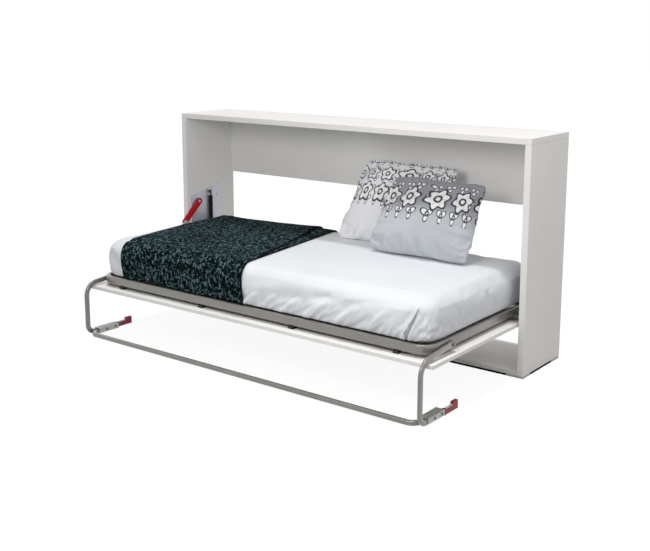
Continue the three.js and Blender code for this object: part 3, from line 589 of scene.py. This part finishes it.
def makeLeg():
    s = legSettings
    bends = [s["upperBend"], s["lowerBend"]]
    for end in bedEnds:
        node = "leg_hoop_" + end
        low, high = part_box(node)
        x = (low[0] + high[0]) / 2
        y = low[1] + s["tall"] / 2
        z = low[2] + s["tall"] / 2
        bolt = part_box("leg_pivot_bolt_" + end)
        pivot = Vector((x, (bolt[0][1] + bolt[1][1]) / 2, (bolt[0][2] + bolt[1][2]) / 2))
        elbow = Vector((x, y, pivot.z - s["slope"]))
        start = pivot + (pivot - elbow).normalized() * s["armEnd"]
        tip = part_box("foot_hook_" + end)[0][1] - s["tipGap"]
        corners = [start, elbow, (x, y, z), (x, tip, z)]
        bentTube(node, "leg", corners, bends, (1, 0, 0), (s["thick"], s["tall"]), s["edge"])
    low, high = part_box("leg_crossbar")
    x = high[0] - s["bar"] / 2
    y = low[1] + s["bar"] / 2
    z = (low[2] + high[2]) / 2
    corners = [(x, high[1], z), (x, y, z), (-x, y, z), (-x, high[1], z)]
    size = (s["bar"], s["bar"])
    bentTube("leg_crossbar", "leg", corners, [s["barBend"]] * 2, (0, 0, 1), size, s["barEdge"])


# dark bolt heads on both faces of a saddle, over its rivets
saddleBolts = {"spots": (0.395, 0.839), "sides": 24, "radius": 0.0056, "tall": 0.0034, "sunk": 0.0022,
               "edge": 0.0008}


def makeSaddleBolts(end):
    s = saddleBolts
    low, high = (Vector(p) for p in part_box("leg_saddle_" + end))
    shape = bmesh.new()
    for spot in s["spots"]:
        for x, sign in ((low.x, -1), (high.x, 1)):
            out = x + sign * (s["tall"] / 2 - s["sunk"])
            place = Vector((out, low.y + (high.y - low.y) * spot, (low.z + high.z) / 2))
            turn = Matrix.Translation(place) @ Matrix.Rotation(math.pi / 2, 4, "Y")
            bmesh.ops.create_cone(shape, cap_ends=True, segments=s["sides"], radius1=s["radius"],
                                  radius2=s["radius"], depth=s["tall"], matrix=turn)
    rims = [e for e in shape.edges if any(len(face.verts) > 4 for face in e.link_faces)]
    breakEdges(shape, rims, s["edge"], 2)
    keepPiece("saddle_bolts_" + end, shape, "dark_bolt", "leg", [], meshSettings["tubeAngle"])


# each foot's red end: a pale insert in its seat, and a dark collar between it and the saddle
footSettings = {
    "insert": (0.009, 0.062), "insertWide": 0.0096, "insertLow": 0.0075, "insertHigh": 0.0135,
    "insertEdge": 0.0012, "collar": (-0.0085, -0.0005), "collarGrow": 0.0016, "collarEdge": 0.0010,
}


def roundedBox(low, high, edge):
    shape = bmesh.new()
    bmesh.ops.create_cube(shape, size=1)
    low, high = Vector(low), Vector(high)
    bmesh.ops.scale(shape, vec=high - low, verts=shape.verts)
    bmesh.ops.translate(shape, vec=(low + high) / 2, verts=shape.verts)
    breakEdges(shape, shape.edges[:], edge, 3)
    return shape


def makeFootParts(end):
    s = footSettings
    low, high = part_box("foot_hook_" + end)
    x = (low[0] + high[0]) / 2
    halfTall = legSettings["tall"] / 2
    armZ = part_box("leg_hoop_" + end)[0][2] + halfTall
    collarWide = legSettings["thick"] / 2 + s["collarGrow"]
    for part, slotName, wide, bottom, top in (
            ("insert", "pale_plastic", s["insertWide"] / 2, s["insertLow"], s["insertHigh"]),
            ("collar", "black_plastic", collarWide, -halfTall, halfTall + s["collarGrow"])):
        near, far = (low[1] + y for y in s[part])
        shape = roundedBox((x - wide, near, armZ + bottom), (x + wide, far, armZ + top), s[part + "Edge"])
        keepPiece(f"foot_{part}_{end}", shape, slotName, "leg", [], meshSettings["tubeAngle"])


makeRails()
makeLeg()
for end in bedEnds:
    makeFootParts(end)
    makeSaddleBolts(end)
print("tubes bent")


# the mattress in its white fitted sheet: tight at the left, creased at the right end and tucked at its corner
bedding = {
    "voxel": 0.016, "frames": 16, "hem": 0.02, "growth": -0.012, "cap": 0.005, "pressure": 0.4,
    "inset": 0.003, "insetReach": 0.05, "corner": 0.085,
    "wave": (0.0012, (3.1, 3.4, 5.0)), "ripple": (0.0007, (11, 12, 16)), "overHem": 0.0002, "overTop": 0.002,
    # folds and creases lie on its sides, and fade as the cloth turns level
    "creased": (0.15, 2.78), "creasedHeight": 0.15, "upright": 0.85, "sideFade": (1.35, 1.5),
    "creaseSpan": (0.35, 0.85, 2.0, 2.3), "creaseFrom": 0.030, "creaseHeight": 0.085,
    "creaseScale": 26, "creaseLength": 0.25, "creaseSharp": 2.4, "creaseSeed": 4.2, "creaseRise": 0.0048,
    # a fold's strength along its length, in shares of it, and how fast it falls off to its sides, in widths
    "foldPast": (-0.3, 1.3), "foldPeak": 0.42, "foldReach": 0.42, "foldSides": 3, "foldFall": 1.4,
    # each fold: where it starts and ends, round the side and up from the hem, then its width and its rise
    "folds": [
        (0.54, 0.015, 0.69, 0.085, 0.020, 0.0080), (0.60, 0.010, 0.72, 0.060, 0.014, -0.0072),
        (0.43, 0.020, 0.62, 0.062, 0.018, 0.0058), (0.66, 0.020, 0.80, 0.100, 0.022, 0.0072),
        (0.30, 0.010, 0.47, 0.050, 0.020, 0.0043), (0.84, 0.000, 0.93, 0.075, 0.013, 0.0087),
        (0.88, 0.000, 0.97, 0.062, 0.010, -0.0080), (0.93, 0.000, 1.03, 0.080, 0.013, 0.0087),
        (0.99, 0.000, 1.08, 0.060, 0.010, -0.0072), (1.03, 0.000, 1.13, 0.086, 0.013, 0.0080),
        (1.10, 0.000, 1.20, 0.058, 0.011, -0.0065), (1.14, 0.000, 1.26, 0.090, 0.014, 0.0087),
        (1.22, 0.002, 1.34, 0.070, 0.012, -0.0072), (1.27, 0.000, 1.42, 0.105, 0.016, 0.0087),
        (1.36, 0.000, 1.49, 0.070, 0.013, -0.0072), (1.44, 0.010, 1.58, 0.110, 0.018, 0.0094),
        (1.52, 0.000, 1.64, 0.075, 0.014, -0.0080), (1.60, 0.010, 1.72, 0.120, 0.016, 0.0087),
        (1.12, 0.070, 1.30, 0.096, 0.026, -0.0065), (0.98, 0.088, 1.16, 0.112, 0.024, 0.0051),
        (1.32, 0.098, 1.44, 0.120, 0.020, -0.0058), (0.78, 0.070, 0.98, 0.092, 0.030, 0.0051),
        (0.70, 0.110, 0.88, 0.126, 0.024, -0.0036), (1.48, 0.118, 1.62, 0.140, 0.018, 0.0043),
        (1.777, -0.02, 1.836, 0.120, 0.0070, -0.0150), (1.800, 0.000, 1.855, 0.125, 0.0100, 0.0085),
        (1.845, 0.000, 1.862, 0.100, 0.009, -0.0040),
        (1.875, 0.000, 1.868, 0.110, 0.010, 0.0055), (1.905, 0.000, 1.902, 0.095, 0.009, -0.0045),
        (1.940, 0.000, 1.938, 0.085, 0.012, 0.0045), (1.985, 0.000, 1.975, 0.070, 0.014, -0.0035),
        (2.05, 0.000, 2.03, 0.060, 0.018, 0.0030), (2.36, 0.010, 2.33, 0.090, 0.020, 0.0012),
        (2.44, 0.005, 2.42, 0.080, 0.016, -0.0014), (2.50, 0.010, 2.47, 0.100, 0.018, 0.0015),
        (2.57, 0.005, 2.55, 0.090, 0.016, -0.0014), (2.63, 0.020, 2.61, 0.105, 0.018, 0.0014),
        (0.10, 0.004, 0.22, 0.034, 0.014, 0.0036), (2.90, 0.010, 3.05, 0.080, 0.022, 0.0035),
        (3.30, 0.010, 3.42, 0.070, 0.022, 0.0035), (3.80, 0.010, 3.90, 0.080, 0.024, 0.0030),
        (4.30, 0.010, 4.36, 0.090, 0.020, 0.0035), (4.62, 0.000, 4.60, 0.080, 0.014, 0.0035),
    ],
}


clothSettings = {"quality": 5, "mass": 0.25, "tension_stiffness": 14, "compression_stiffness": 14,
                 "shear_stiffness": 5, "bending_stiffness": 0.3}


# blows cloth up by its pressure, and keeps each point within a cap of where it started
def clothPass(piece, s, pinned):
    start = [v.co.copy() for v in piece.data.vertices]
    pins = piece.vertex_groups.new(name="held")
    pins.add(pinned, 1.0, "REPLACE")
    cloth = piece.modifiers.new("cloth", "CLOTH")
    c = cloth.settings
    for key, value in clothSettings.items():
        setattr(c, key, value)
    c.use_pressure = True
    c.uniform_pressure_force = s["pressure"]
    c.shrink_min = s["growth"]
    c.effector_weights.gravity = 0
    c.vertex_group_mass = "held"
    cloth.collision_settings.use_collision = False
    scene = bpy.context.scene
    for number in range(1, s["frames"] + 1):
        scene.frame_set(number)
    shaped = piece.evaluated_get(bpy.context.evaluated_depsgraph_get())
    ends = [v.co.copy() for v in shaped.data.vertices]
    piece.modifiers.remove(cloth)
    for vertex, before, after in zip(piece.data.vertices, start, ends):
        move = after - before
        far = max(move.length, 1e-6)
        vertex.co = before + move * (s["cap"] * math.tanh(far / s["cap"]) / far)
    scene.frame_set(1)


# the mesh that a piece's modifiers make, kept as its own
def settle(piece):
    bpy.context.view_layer.update()
    made = bpy.data.meshes.new_from_object(piece.evaluated_get(bpy.context.evaluated_depsgraph_get()))
    piece.modifiers.clear()
    piece.data = made


def remeshed(node, voxel):
    shape = bmesh.new()
    shape.from_mesh(frame["nodes"][node].data)
    bmesh.ops.remove_doubles(shape, verts=shape.verts, dist=meshSettings["merge"])
    piece = addObject(node + "_soft", shape)
    remesh = piece.modifiers.new("even", "REMESH")
    remesh.mode = "VOXEL"
    remesh.voxel_size = voxel
    settle(piece)
    return piece


def easeIn(value):
    value = min(1, max(0, value))
    return value * value * (3 - 2 * value)


# how far round the mattress a point lies, from the front's left corner by the right end to the back
def roundSide(point, low, high):
    width, depth = high.x - low.x, high.y - low.y
    x = min(max(point.x - low.x, 0), width)
    y = min(max(point.y - low.y, 0), depth)
    gaps = [y, width - x, depth - y, x]
    side = gaps.index(min(gaps))
    return [x, width + y, 2 * width + depth - x, 2 * (width + depth) - y][side]


def foldRise(along, up, full, s):
    rise = 0
    first, last = s["foldPast"]
    for a0, u0, a1, u1, width, high in s["folds"]:
        da = (along - a0 + full / 2) % full - full / 2
        ra, ru = a1 - a0, u1 - u0
        length = math.hypot(ra, ru)
        t = (da * ra + (up - u0) * ru) / length ** 2
        if not first < t < last:
            continue
        off = abs(da * ru - (up - u0) * ra) / length
        if off > s["foldSides"] * width:
            continue
        fade = math.exp(-((t - s["foldPeak"]) / s["foldReach"]) ** 4)
        rise += high * fade * math.exp(-(off / width) ** 2 * s["foldFall"])
    return rise


# fine slanting creases by the hem, thickest towards the front's right end
def creaseRise(along, up, s):
    near, full, end, last = s["creaseSpan"]
    share = easeIn((along - near) / (full - near)) * (1 - easeIn((along - end) / (last - end)))
    share *= 1 - easeIn((up - s["creaseFrom"]) / s["creaseHeight"])
    if share <= 0:
        return 0
    across, down = (along - up) * s["creaseScale"], (along + up) * s["creaseScale"] * s["creaseLength"]
    ridge = 1 - s["creaseSharp"] * abs(noise.noise(Vector((across, down, s["creaseSeed"]))))
    return share * s["creaseRise"] * ridge


# a map in metres, taken from the side that each face looks to
def boxMap(piece):
    layer = piece.data.uv_layers.new(name="cloth")
    for face in piece.data.polygons:
        n = face.normal
        axis = max(range(3), key=lambda i: abs(n[i]))
        pick = [(1, 2), (0, 2), (0, 1)][axis]
        for loop in face.loop_indices:
            co = piece.data.vertices[piece.data.loops[loop].vertex_index].co
            layer.data[loop].uv = (co[pick[0]], co[pick[1]])


def makeMattress():
    s = bedding
    low, high = (Vector(p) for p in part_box("mattress"))
    middle = (low + high) / 2
    piece = remeshed("mattress", s["voxel"])
    for v in piece.data.vertices:
        reach = Vector((v.co.x - middle.x, v.co.y - middle.y))
        v.co.x -= math.copysign(s["inset"], reach.x) * min(1, abs(reach.x) / s["insetReach"])
        v.co.y -= math.copysign(s["inset"], reach.y) * min(1, abs(reach.y) / s["insetReach"])
    pinned = [v.index for v in piece.data.vertices if v.co.z < low.z + s["hem"]]
    clothPass(piece, s, pinned)
    shape = bmesh.new()
    shape.from_mesh(piece.data)
    near, far = s["creased"]
    creased = {v for v in shape.verts
               if v.co.z < low.z + s["creasedHeight"] and near < roundSide(v.co, low, high) < far}
    sides = [e for e in shape.edges if e.verts[0] in creased and e.verts[1] in creased
             and max(abs(v.normal.z) for v in e.verts) < s["upright"]]
    bmesh.ops.subdivide_edges(shape, edges=sides, cuts=1, use_grid_fill=True)
    shape.to_mesh(piece.data)
    shape.free()
    finer = piece.modifiers.new("finer", "SUBSURF")
    finer.levels = finer.render_levels = 1
    settle(piece)
    full = 2 * (high.x - low.x + high.y - low.y)
    fadeFrom, fadeRate = s["sideFade"]
    normals = [v.normal.copy() for v in piece.data.vertices]
    for v, normal in zip(piece.data.vertices, normals):
        sideShare = min(1, max(0, fadeFrom - abs(normal.z) * fadeRate))
        up = v.co.z - low.z
        rise = sum(deep * noise.noise(v.co * Vector(scale)) for deep, scale in (s["wave"], s["ripple"]))
        if sideShare > 0 and up > 0.001:
            along = roundSide(v.co, low, high)
            rise += sideShare * (foldRise(along, up, full, s) + creaseRise(along, up, s))
        v.co += normal * rise
        v.co.z = min(max(v.co.z, low.z + s["overHem"]), high.z + s["overTop"])
    boxMap(piece)
    for face in piece.data.polygons:
        face.use_smooth = True
    piece.data.materials.clear()
    piece.data.materials.append(finishes["white_cotton"])
    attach(piece, "bed")
    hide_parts("mattress")
    return piece


mattress = makeMattress()
print("mattress dressed")


def surfaceTree(piece):
    depsgraph = bpy.context.evaluated_depsgraph_get()
    return BVHTree.FromObject(piece.evaluated_get(depsgraph), depsgraph)


# keeps a point at least gap outside a closed surface
def liftOff(tree, point, gap):
    near, normal, _, _ = tree.find_nearest(point)
    if near is None:
        return point
    away = point - near
    if away.dot(normal) < 0 or away.length < gap:
        return near + normal * gap
    return point


# the sheet's corner fold: the front's cloth laps over a groove, its free edge standing off
cornerFold = {
    "foot": (1.778, 0.004), "head": (1.846, 0.146), "spread": 0.075, "columns": 34, "rows": 44,
    "lip": 0.0105, "lipWidth": 0.022, "sunk": -0.0012, "thick": 0.0014, "bow": 0.007, "aside": 0.004,
    # how its width and its opening vary up its length, and how fast it closes at its head and its rim
    "widthShape": (0.08, 0.84), "openShape": (0.12, 0.80), "closeHead": 8, "closeRim": 0.004,
    "castFrom": 0.03,
}


def clothGrid(columns, rows, size):
    shape = bmesh.new()
    bmesh.ops.create_grid(shape, x_segments=columns, y_segments=rows, size=size)
    shape.loops.layers.uv.new("cloth")
    return shape


# a cloth's map is where each point lies while it is flat, in metres
def mapCloth(shape, flat):
    cloth = shape.loops.layers.uv["cloth"]
    for face in shape.faces:
        for loop in face.loops:
            loop[cloth].uv = flat[loop.vert]


def thicken(piece, thick):
    skin = piece.modifiers.new("cloth thickness", "SOLIDIFY")
    skin.thickness = thick
    skin.offset = 1


def makeCornerFold():
    s = cornerFold
    low, high = (Vector(p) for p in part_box("mattress"))
    tree = surfaceTree(mattress)
    width, radius = high.x - low.x, bedding["corner"]
    (wide0, wide1), (open0, open1) = s["widthShape"], s["openShape"]
    shape = clothGrid(s["columns"], s["rows"], 0.5)
    flat = {}
    for v in shape.verts:
        back, rise = 0.5 - v.co.x, v.co.y + 0.5
        run = s["spread"] * math.sin(math.pi * (wide0 + wide1 * rise)) * back
        hinge, up = (foot + (head - foot) * rise for foot, head in zip(s["foot"], s["head"]))
        along = hinge - s["bow"] * math.sin(math.pi * rise) - run
        flat[v] = (along, up)
        out = along - (width - radius)
        outer, towards = Vector((low.x + along, low.y - s["castFrom"], low.z + up)), Vector((0, 1, 0))
        if out > 0:
            turn = out / radius
            hub = Vector((high.x - radius, low.y + radius, low.z + up))
            towards = Vector((-math.sin(turn), math.cos(turn), 0))
            outer = hub - towards * (radius + s["castFrom"])
        near, normal, _, _ = tree.ray_cast(outer, towards)
        edge = max(0, 1 - run / s["lipWidth"])
        opened = math.sin(math.pi * min(1, open0 + rise * open1)) * edge
        fade = min(1, (1 - rise) * s["closeHead"], run / s["closeRim"] + 1)
        v.co = near + normal * (s["sunk"] + (s["lip"] - s["sunk"]) * max(0, opened) * fade)
        v.co.x += s["aside"] * edge * fade
    mapCloth(shape, flat)
    bmesh.ops.recalc_face_normals(shape, faces=shape.faces)
    if sum(f.normal.y for f in shape.faces) > 0:
        bmesh.ops.reverse_faces(shape, faces=shape.faces)
    piece = keepPiece("sheet_corner_fold", shape, "white_cotton", "bed", [], meshSettings["clothAngle"])
    thicken(piece, s["thick"])


# the throw lies a little askew over the mattress, its right edge turned back on itself
throwSettings = {
    "width": 0.782, "fromEnd": 0.165, "skew": 0.135, "frontHem": 0.004, "hemIn": 0.002, "rearDrop": 0.060,
    "gap": 0.0024, "thick": 0.0030, "columns": 150, "rows": 180, "smoothings": 6,
    # the upper layer's edge draws back from the lower one's towards the rear, and both stand higher there
    "wedge": (0.004, 0.100), "wedgeFrom": -0.40, "wedgeWave": (0.004, 6),
    "layer": (0.0042, 0.0150), "thickFrom": 0.03, "thickTo": 0.04, "sink": 0.16, "step": 0.006,
    "lowerShare": 0.35,
    # it swells over the mattress and lies closer at its hems and at its right edge
    "swell": 0.0008, "wave": (0.0016, (5, 4, 3.1)), "ripple": (0.0008, (17, 15, 8)),
    "hemShare": 0.35, "hemReach": 0.05, "edgeReach": 0.008,
    # the folded edge is bound like the others
    "boundFrom": 0.03, "bindingAt": 0.001,
}

# the mattress's side in section: its low points, then a round shoulder
sideShape = {"low": [(0.004, 0.0), (0.002, 0.014)], "bulge": 0.009, "radius": 0.058, "crown": 0.005,
             "steps": 8}


# how far in from the mattress's widest line, and how high, as its side goes up
def sideProfile(height):
    s = sideShape
    points = s["low"] + [(0.0, height * 0.34), (s["bulge"] * 0.2, height * 0.5)]
    for k in range(s["steps"] + 1):
        a = math.pi / 2 * k / s["steps"]
        points.append((s["bulge"] * 0.5 + s["radius"] * (1 - math.cos(a)),
                       height - s["crown"] - s["radius"] * (1 - math.sin(a))))
    return points


def alongLine(line, distance):
    for (y0, z0), (y1, z1) in zip(line, line[1:]):
        step = math.hypot(y1 - y0, z1 - z0)
        if distance <= step:
            return y0 + (y1 - y0) * distance / step, z0 + (z1 - z0) * distance / step
        distance -= step
    return line[-1]


# noise over the flat cloth, its third scale a place of its own
def clothNoise(u, t, deep, scale):
    return deep * noise.noise(Vector((u * scale[0], t * scale[1], scale[2])))


def blend(pair, share):
    return pair[0] + (pair[1] - pair[0]) * share


def makeThrow():
    s = throwSettings
    low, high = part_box("mattress")
    height = high[2] - low[2]
    side = sideProfile(height)
    front = [(low[1] + i, low[2] + z) for i, z in side if z >= s["frontHem"]]
    front.insert(0, (low[1] + s["hemIn"], low[2] + s["frontHem"]))
    rear = [(high[1] - i, low[2] + z) for i, z in reversed(side) if z >= height - s["rearDrop"]]
    line = front + rear
    total = sum(math.dist(a, b) for a, b in zip(line, line[1:]))
    tree = surfaceTree(mattress)
    shape = clothGrid(s["columns"], s["rows"], 0.5)
    rim = shape.verts.layers.float.new("rim")
    flat = {}
    for v in shape.verts:
        u, t = (v.co.x + 0.5) * s["width"], (v.co.y + 0.5) * total
        flat[v] = (u, t)
        v[rim] = min(u, s["width"] - u, t, total - t)
        y, z = alongLine(line, t)
        left = low[0] + s["fromEnd"] - s["skew"] * t
        v.co = liftOff(tree, Vector((left + u, y, z)), s["gap"])
    mapCloth(shape, flat)
    free = [v for v in shape.verts if not v.is_boundary]
    for _ in range(s["smoothings"]):
        bmesh.ops.smooth_vert(shape, verts=free, factor=0.5, use_axis_x=False, use_axis_y=True,
                              use_axis_z=True)
        for v in shape.verts:
            v.co = liftOff(tree, v.co, s["gap"])
    shape.normal_update()
    if sum(f.normal.z for f in shape.faces) < 0:
        bmesh.ops.reverse_faces(shape, faces=shape.faces)
        shape.normal_update()
    wedgeDeep, wedgeScale = s["wedgeWave"]
    for v in shape.verts:
        u, t = flat[v]
        inner = s["width"] - u
        drape = s["swell"] + clothNoise(u, t, *s["wave"])
        drape += clothNoise(u, t, *s["ripple"])
        back = easeIn((v.co.y - s["wedgeFrom"]) / (high[1] - s["wedgeFrom"]))
        thick = easeIn((v.co.y - s["thickFrom"]) / (high[1] - s["thickTo"] - s["thickFrom"]))
        edge = blend(s["wedge"], back) + wedgeDeep * noise.noise(Vector((t * wedgeScale, 2, 7)))
        onTop = easeIn((inner - edge) / s["step"] + 0.5)
        fading = math.exp(-max(0, inner - edge) / s["sink"])
        lower = s["lowerShare"] * thick
        rise = max(0, drape) + blend(s["layer"], thick) * (lower + (1 - lower) * onTop) * fading
        byHem = blend((s["hemShare"], 1), easeIn(min(t, total - t) / s["hemReach"]))
        rise *= byHem * easeIn(0.5 + inner / s["edgeReach"])
        if back > s["boundFrom"]:
            v[rim] = min(v[rim], abs(inner - edge - s["bindingAt"]) + s["bindingAt"])
        v.co += v.normal * rise
    piece = keepPiece("throw_knit", shape, "dark_knit", "bed", ["throw"], meshSettings["clothAngle"])
    thicken(piece, s["thick"])


makeCornerFold()
makeThrow()
print("throw laid")


# pillows: two sewn panels, pinned at their seam while their cloth is blown up and buckles
pillowSettings = {
    "pillow_back": {"size": (0.543, 0.428), "lean": 0.30, "yaw": 0.05, "slump": 0.20, "seed": 3.3},
    "pillow_front": {"size": (0.529, 0.388), "lean": 0.46, "yaw": -0.01, "slump": 0.05, "seed": 11.7},
}
pillowCloth = {
    "columns": 84, "quickColumns": 40, "edgeward": 0.82, "pressure": 1.4, "growth": -0.055, "frames": 20,
    "cap": 0.013, "sunk": 0.003, "gap": 0.0006, "apart": 0.0008,
    # the seam's outline: its sides drawn in, its corners blunt, its top narrower, and waving a little
    "pull": 0.062, "corner": 0.08, "taper": 0.045, "wave": 0.009, "sideWave": 0.7, "waveScale": 2.6,
    # the filling: fuller below than above, with lumps
    "thick": 0.118, "allowance": 0.006, "roundness": 0.42, "full": 0.92, "sag": 0.16, "lump": 0.12,
    "lumpScale": 2.1, "rimShare": 0.8, "seamHalf": 0.0012,
    # puckers that run in from the seam, deeper below than above
    "pucker": 17, "puckerLong": 0.8, "puckerIn": 0.060, "puckerFrom": 0.010, "puckerRise": 0.015,
    "puckerShare": (1.3, 0.5),
}


# the two faces of a filled pillow over a flat grid: its place across and up from -1 to 1, and which face
def fillPillow(across, up, size, face, seed):
    s = pillowCloth
    fill = max(0.0, (1 - across ** 2) * (1 - up ** 2)) ** s["roundness"]
    blunt = 1 - s["corner"] * (across * up) ** 4
    x = size[0] / 2 * across * (1 - s["pull"] * (1 - up ** 2)) * (1 - s["taper"] * up) * blunt
    z = size[1] / 2 * up * (1 - s["pull"] * (1 - across ** 2)) * blunt
    sag = s["full"] - s["sag"] * up
    lump = 1 + s["lump"] * noise.noise(Vector((across * s["lumpScale"], up * s["lumpScale"], seed + face)))
    y = face * (s["thick"] / 2 - s["allowance"]) * fill * sag * lump
    inX, inZ = (1 - abs(across)) * size[0] / 2, (1 - abs(up)) * size[1] / 2
    long = s["puckerLong"]
    byHem = noise.noise(Vector((across * size[0] * s["pucker"], up * long, seed + face * 4)))
    bySide = noise.noise(Vector((across * long, up * size[1] * s["pucker"], seed + face * 6)))
    puckers = sum(pucker * math.exp(-near / s["puckerIn"]) * (1 - math.exp(-near / s["puckerFrom"]))
                  for pucker, near in ((byHem, inZ), (bySide, inX)))
    most, less = s["puckerShare"]
    y += face * s["puckerRise"] * (most - less * up) * puckers
    rim = 1 - fill * s["rimShare"]
    edge = Vector((across * s["waveScale"], up * s["waveScale"], seed))
    y += s["wave"] * rim * noise.noise(edge)
    x += s["wave"] * s["sideWave"] * rim * noise.noise(edge + Vector((5, 2, 9)))
    z += s["wave"] * s["sideWave"] * rim * noise.noise(edge + Vector((1, 7, 3)))
    return Vector((x, y + face * s["seamHalf"], z))


def sewnPillow(name, size, seed):
    s = pillowCloth
    columns = s["columns"]
    rows = round(columns * size[1] / size[0])
    shape = clothGrid(columns, rows, 1)
    mapCloth(shape, {v: (v.co.x * size[0] / 2, v.co.y * size[1] / 2) for v in shape.verts})
    seam = [v.index for v in shape.verts if v.is_boundary]
    for v in shape.verts:
        v.co.x = math.copysign(abs(v.co.x) ** s["edgeward"], v.co.x)
        v.co.y = math.copysign(abs(v.co.y) ** s["edgeward"], v.co.y)
    other = bmesh.ops.duplicate(shape, geom=shape.verts[:] + shape.edges[:] + shape.faces[:])["geom"]
    rearVerts = {g for g in other if isinstance(g, bmesh.types.BMVert)}
    bmesh.ops.reverse_faces(shape, faces=[g for g in other if isinstance(g, bmesh.types.BMFace)])
    for v in shape.verts:
        v.co = fillPillow(v.co.x, v.co.y, size, 1 if v in rearVerts else -1, seed)
    bmesh.ops.bridge_loops(shape, edges=[e for e in shape.edges if e.is_boundary])
    bmesh.ops.recalc_face_normals(shape, faces=shape.faces)
    half = (columns + 1) * (rows + 1)
    return addObject(name, shape), seam + [i + half for i in seam]


def makePillow(node, keepOff):
    s = pillowSettings[node]
    low, high = (Vector(p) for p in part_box(node))
    piece, seam = sewnPillow(node + "_cover", s["size"], s["seed"])
    clothPass(piece, pillowCloth, seam)
    slump = Matrix.Identity(4)
    slump[0][2] = s["slump"]
    lean = Matrix.Rotation(s["yaw"], 4, "Z") @ Matrix.Rotation(-s["lean"], 4, "X")
    for v in piece.data.vertices:
        v.co = lean @ (slump @ v.co)
    points = [v.co for v in piece.data.vertices]
    lowest = Vector([min(p[i] for p in points) for i in range(3)])
    highest = Vector([max(p[i] for p in points) for i in range(3)])
    shift = (low + high) / 2 - (lowest + highest) / 2
    shift.z = low.z - lowest.z - pillowCloth["sunk"]
    rest = surfaceTree(mattress)
    for v in piece.data.vertices:
        v.co = liftOff(rest, v.co + shift, pillowCloth["gap"])
        for tree in keepOff:
            v.co = liftOff(tree, v.co, pillowCloth["apart"])
    for face in piece.data.polygons:
        face.use_smooth = True
    piece.data.materials.append(finishes[node])
    fine = piece.modifiers.new("fine", "SUBSURF")
    fine.levels = fine.render_levels = 1
    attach(piece, "bed")
    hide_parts(node)
    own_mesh(piece)
    return piece


backPillow = makePillow("pillow_back", [])
makePillow("pillow_front", [surfaceTree(backPillow)])
print("pillows filled")


# the stage: a pale floor that the camera sees nearly white, in metres and shares of white, with a painted
# shadow near black under the cabinet
floorSettings = {"size": 60, "floor": 0.93, "unseenFloor": 0.40, "glow": 0.84, "glowLevel": 1.08,
                 "paintedShadowFloor": 0.03}


# whether a ray is the camera's own, straight or by way of a mirror or a glass
def cameraRays(tree):
    rays = tree.nodes.new("ShaderNodeLightPath").outputs
    seen = rays["Is Camera Ray"]
    for name in ("Is Glossy Ray", "Is Transmission Ray"):
        either = tree.nodes.new("ShaderNodeMath")
        either.operation = "MAXIMUM"
        tree.links.new(seen, either.inputs[0])
        tree.links.new(rays[name], either.inputs[1])
        seen = either.outputs[0]
    return seen


def makeFloor():
    s = floorSettings
    shape = bmesh.new()
    bmesh.ops.create_grid(shape, x_segments=1, y_segments=1, size=s["size"] / 2)
    floor = addObject("floor", shape)
    f = Finish("floorPale", {"Roughness": 1.0, "Specular IOR Level": 0.0})
    seen = Value(f, cameraRays(f.tree))
    pale = f.mix(seen, (s["unseenFloor"],) * 3, (s["floor"],) * 3)
    glow = f.node("Emission", {}, {"Color": (1, 1, 1), "Strength": s["glowLevel"]})
    x, y = f.split(f.node("TexCoord", output="Object"))
    low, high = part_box("top_panel")
    # within the cabinet's footprint the floor is painted near black as a painted contact shadow in the gap
    # beneath it, and gets no glow there
    paintedShadowMask = (x.abs() < high[0]) * (y > low[1]) * (y < high[1])
    f.give("Base Color", f.mix(paintedShadowMask, pale, (s["paintedShadowFloor"],) * 3))
    share = seen * s["glow"] * (1 - paintedShadowMask)
    both = f.node("MixShader", {}, {0: share, 1: Value(f, f.shader.outputs[0]), 2: glow})
    f.tree.links.new(both.socket, f.tree.nodes["Material Output"].inputs["Surface"])
    floor.data.materials.append(f.material)


# each lamp: where it stands, what it faces, its strength, and its size in degrees for the sun or in metres
lampSettings = {
    "highSun": {"kind": "SUN", "place": (-0.04, 0.025, 1.0), "facing": (0, 0, 0), "energy": 1.22, "size": 5,
                "color": (0.975, 1.0, 1.025)},
    "frontFill": {"kind": "AREA", "place": (0.70, -2.0, 1.70), "facing": (0.1, 0.0, 0.6), "energy": 18.5,
                  "size": 0.7, "color": (1, 1, 1)},
    "endFill": {"kind": "AREA", "place": (2.3, -0.5, 2.0), "facing": (1.03, 0.2, 0.95), "energy": 7,
                "size": 0.8, "color": (1, 1, 1)},
}


def addLamp(name, s):
    data = bpy.data.lights.new(name, s["kind"])
    data.energy = s["energy"]
    data.color = s["color"]
    if s["kind"] == "AREA":
        data.size = s["size"]
    else:
        data.angle = math.radians(s["size"])
    lamp = bpy.data.objects.new(name, data)
    bpy.context.collection.objects.link(lamp)
    lamp.rotation_euler = (Vector(s["facing"]) - Vector(s["place"])).to_track_quat("-Z", "Y").to_euler()
    lamp.location = s["place"]
    lamp.visible_camera = False


# the room is white behind the object and a little warm where it lights it
roomSettings = {"strength": 0.52, "color": (1.0, 0.965, 0.93)}


def makeRoom():
    world = bpy.data.worlds.new("studio")
    bpy.context.scene.world = world
    world.use_nodes = True
    tree = world.node_tree
    lit = tree.nodes["Background"]
    lit.inputs["Color"].default_value = (*roomSettings["color"], 1)
    lit.inputs["Strength"].default_value = roomSettings["strength"]
    white = tree.nodes.new("ShaderNodeBackground")
    white.inputs["Color"].default_value = (1, 1, 1, 1)
    both = tree.nodes.new("ShaderNodeMixShader")
    tree.links.new(cameraRays(tree), both.inputs[0])
    tree.links.new(lit.outputs[0], both.inputs[1])
    tree.links.new(white.outputs[0], both.inputs[2])
    tree.links.new(both.outputs[0], tree.nodes["World Output"].inputs["Surface"])


makeFloor()
for name, settings in lampSettings.items():
    addLamp(name, settings)
makeRoom()
bpy.context.scene.view_settings.view_transform = "Standard"
print("stage lit")
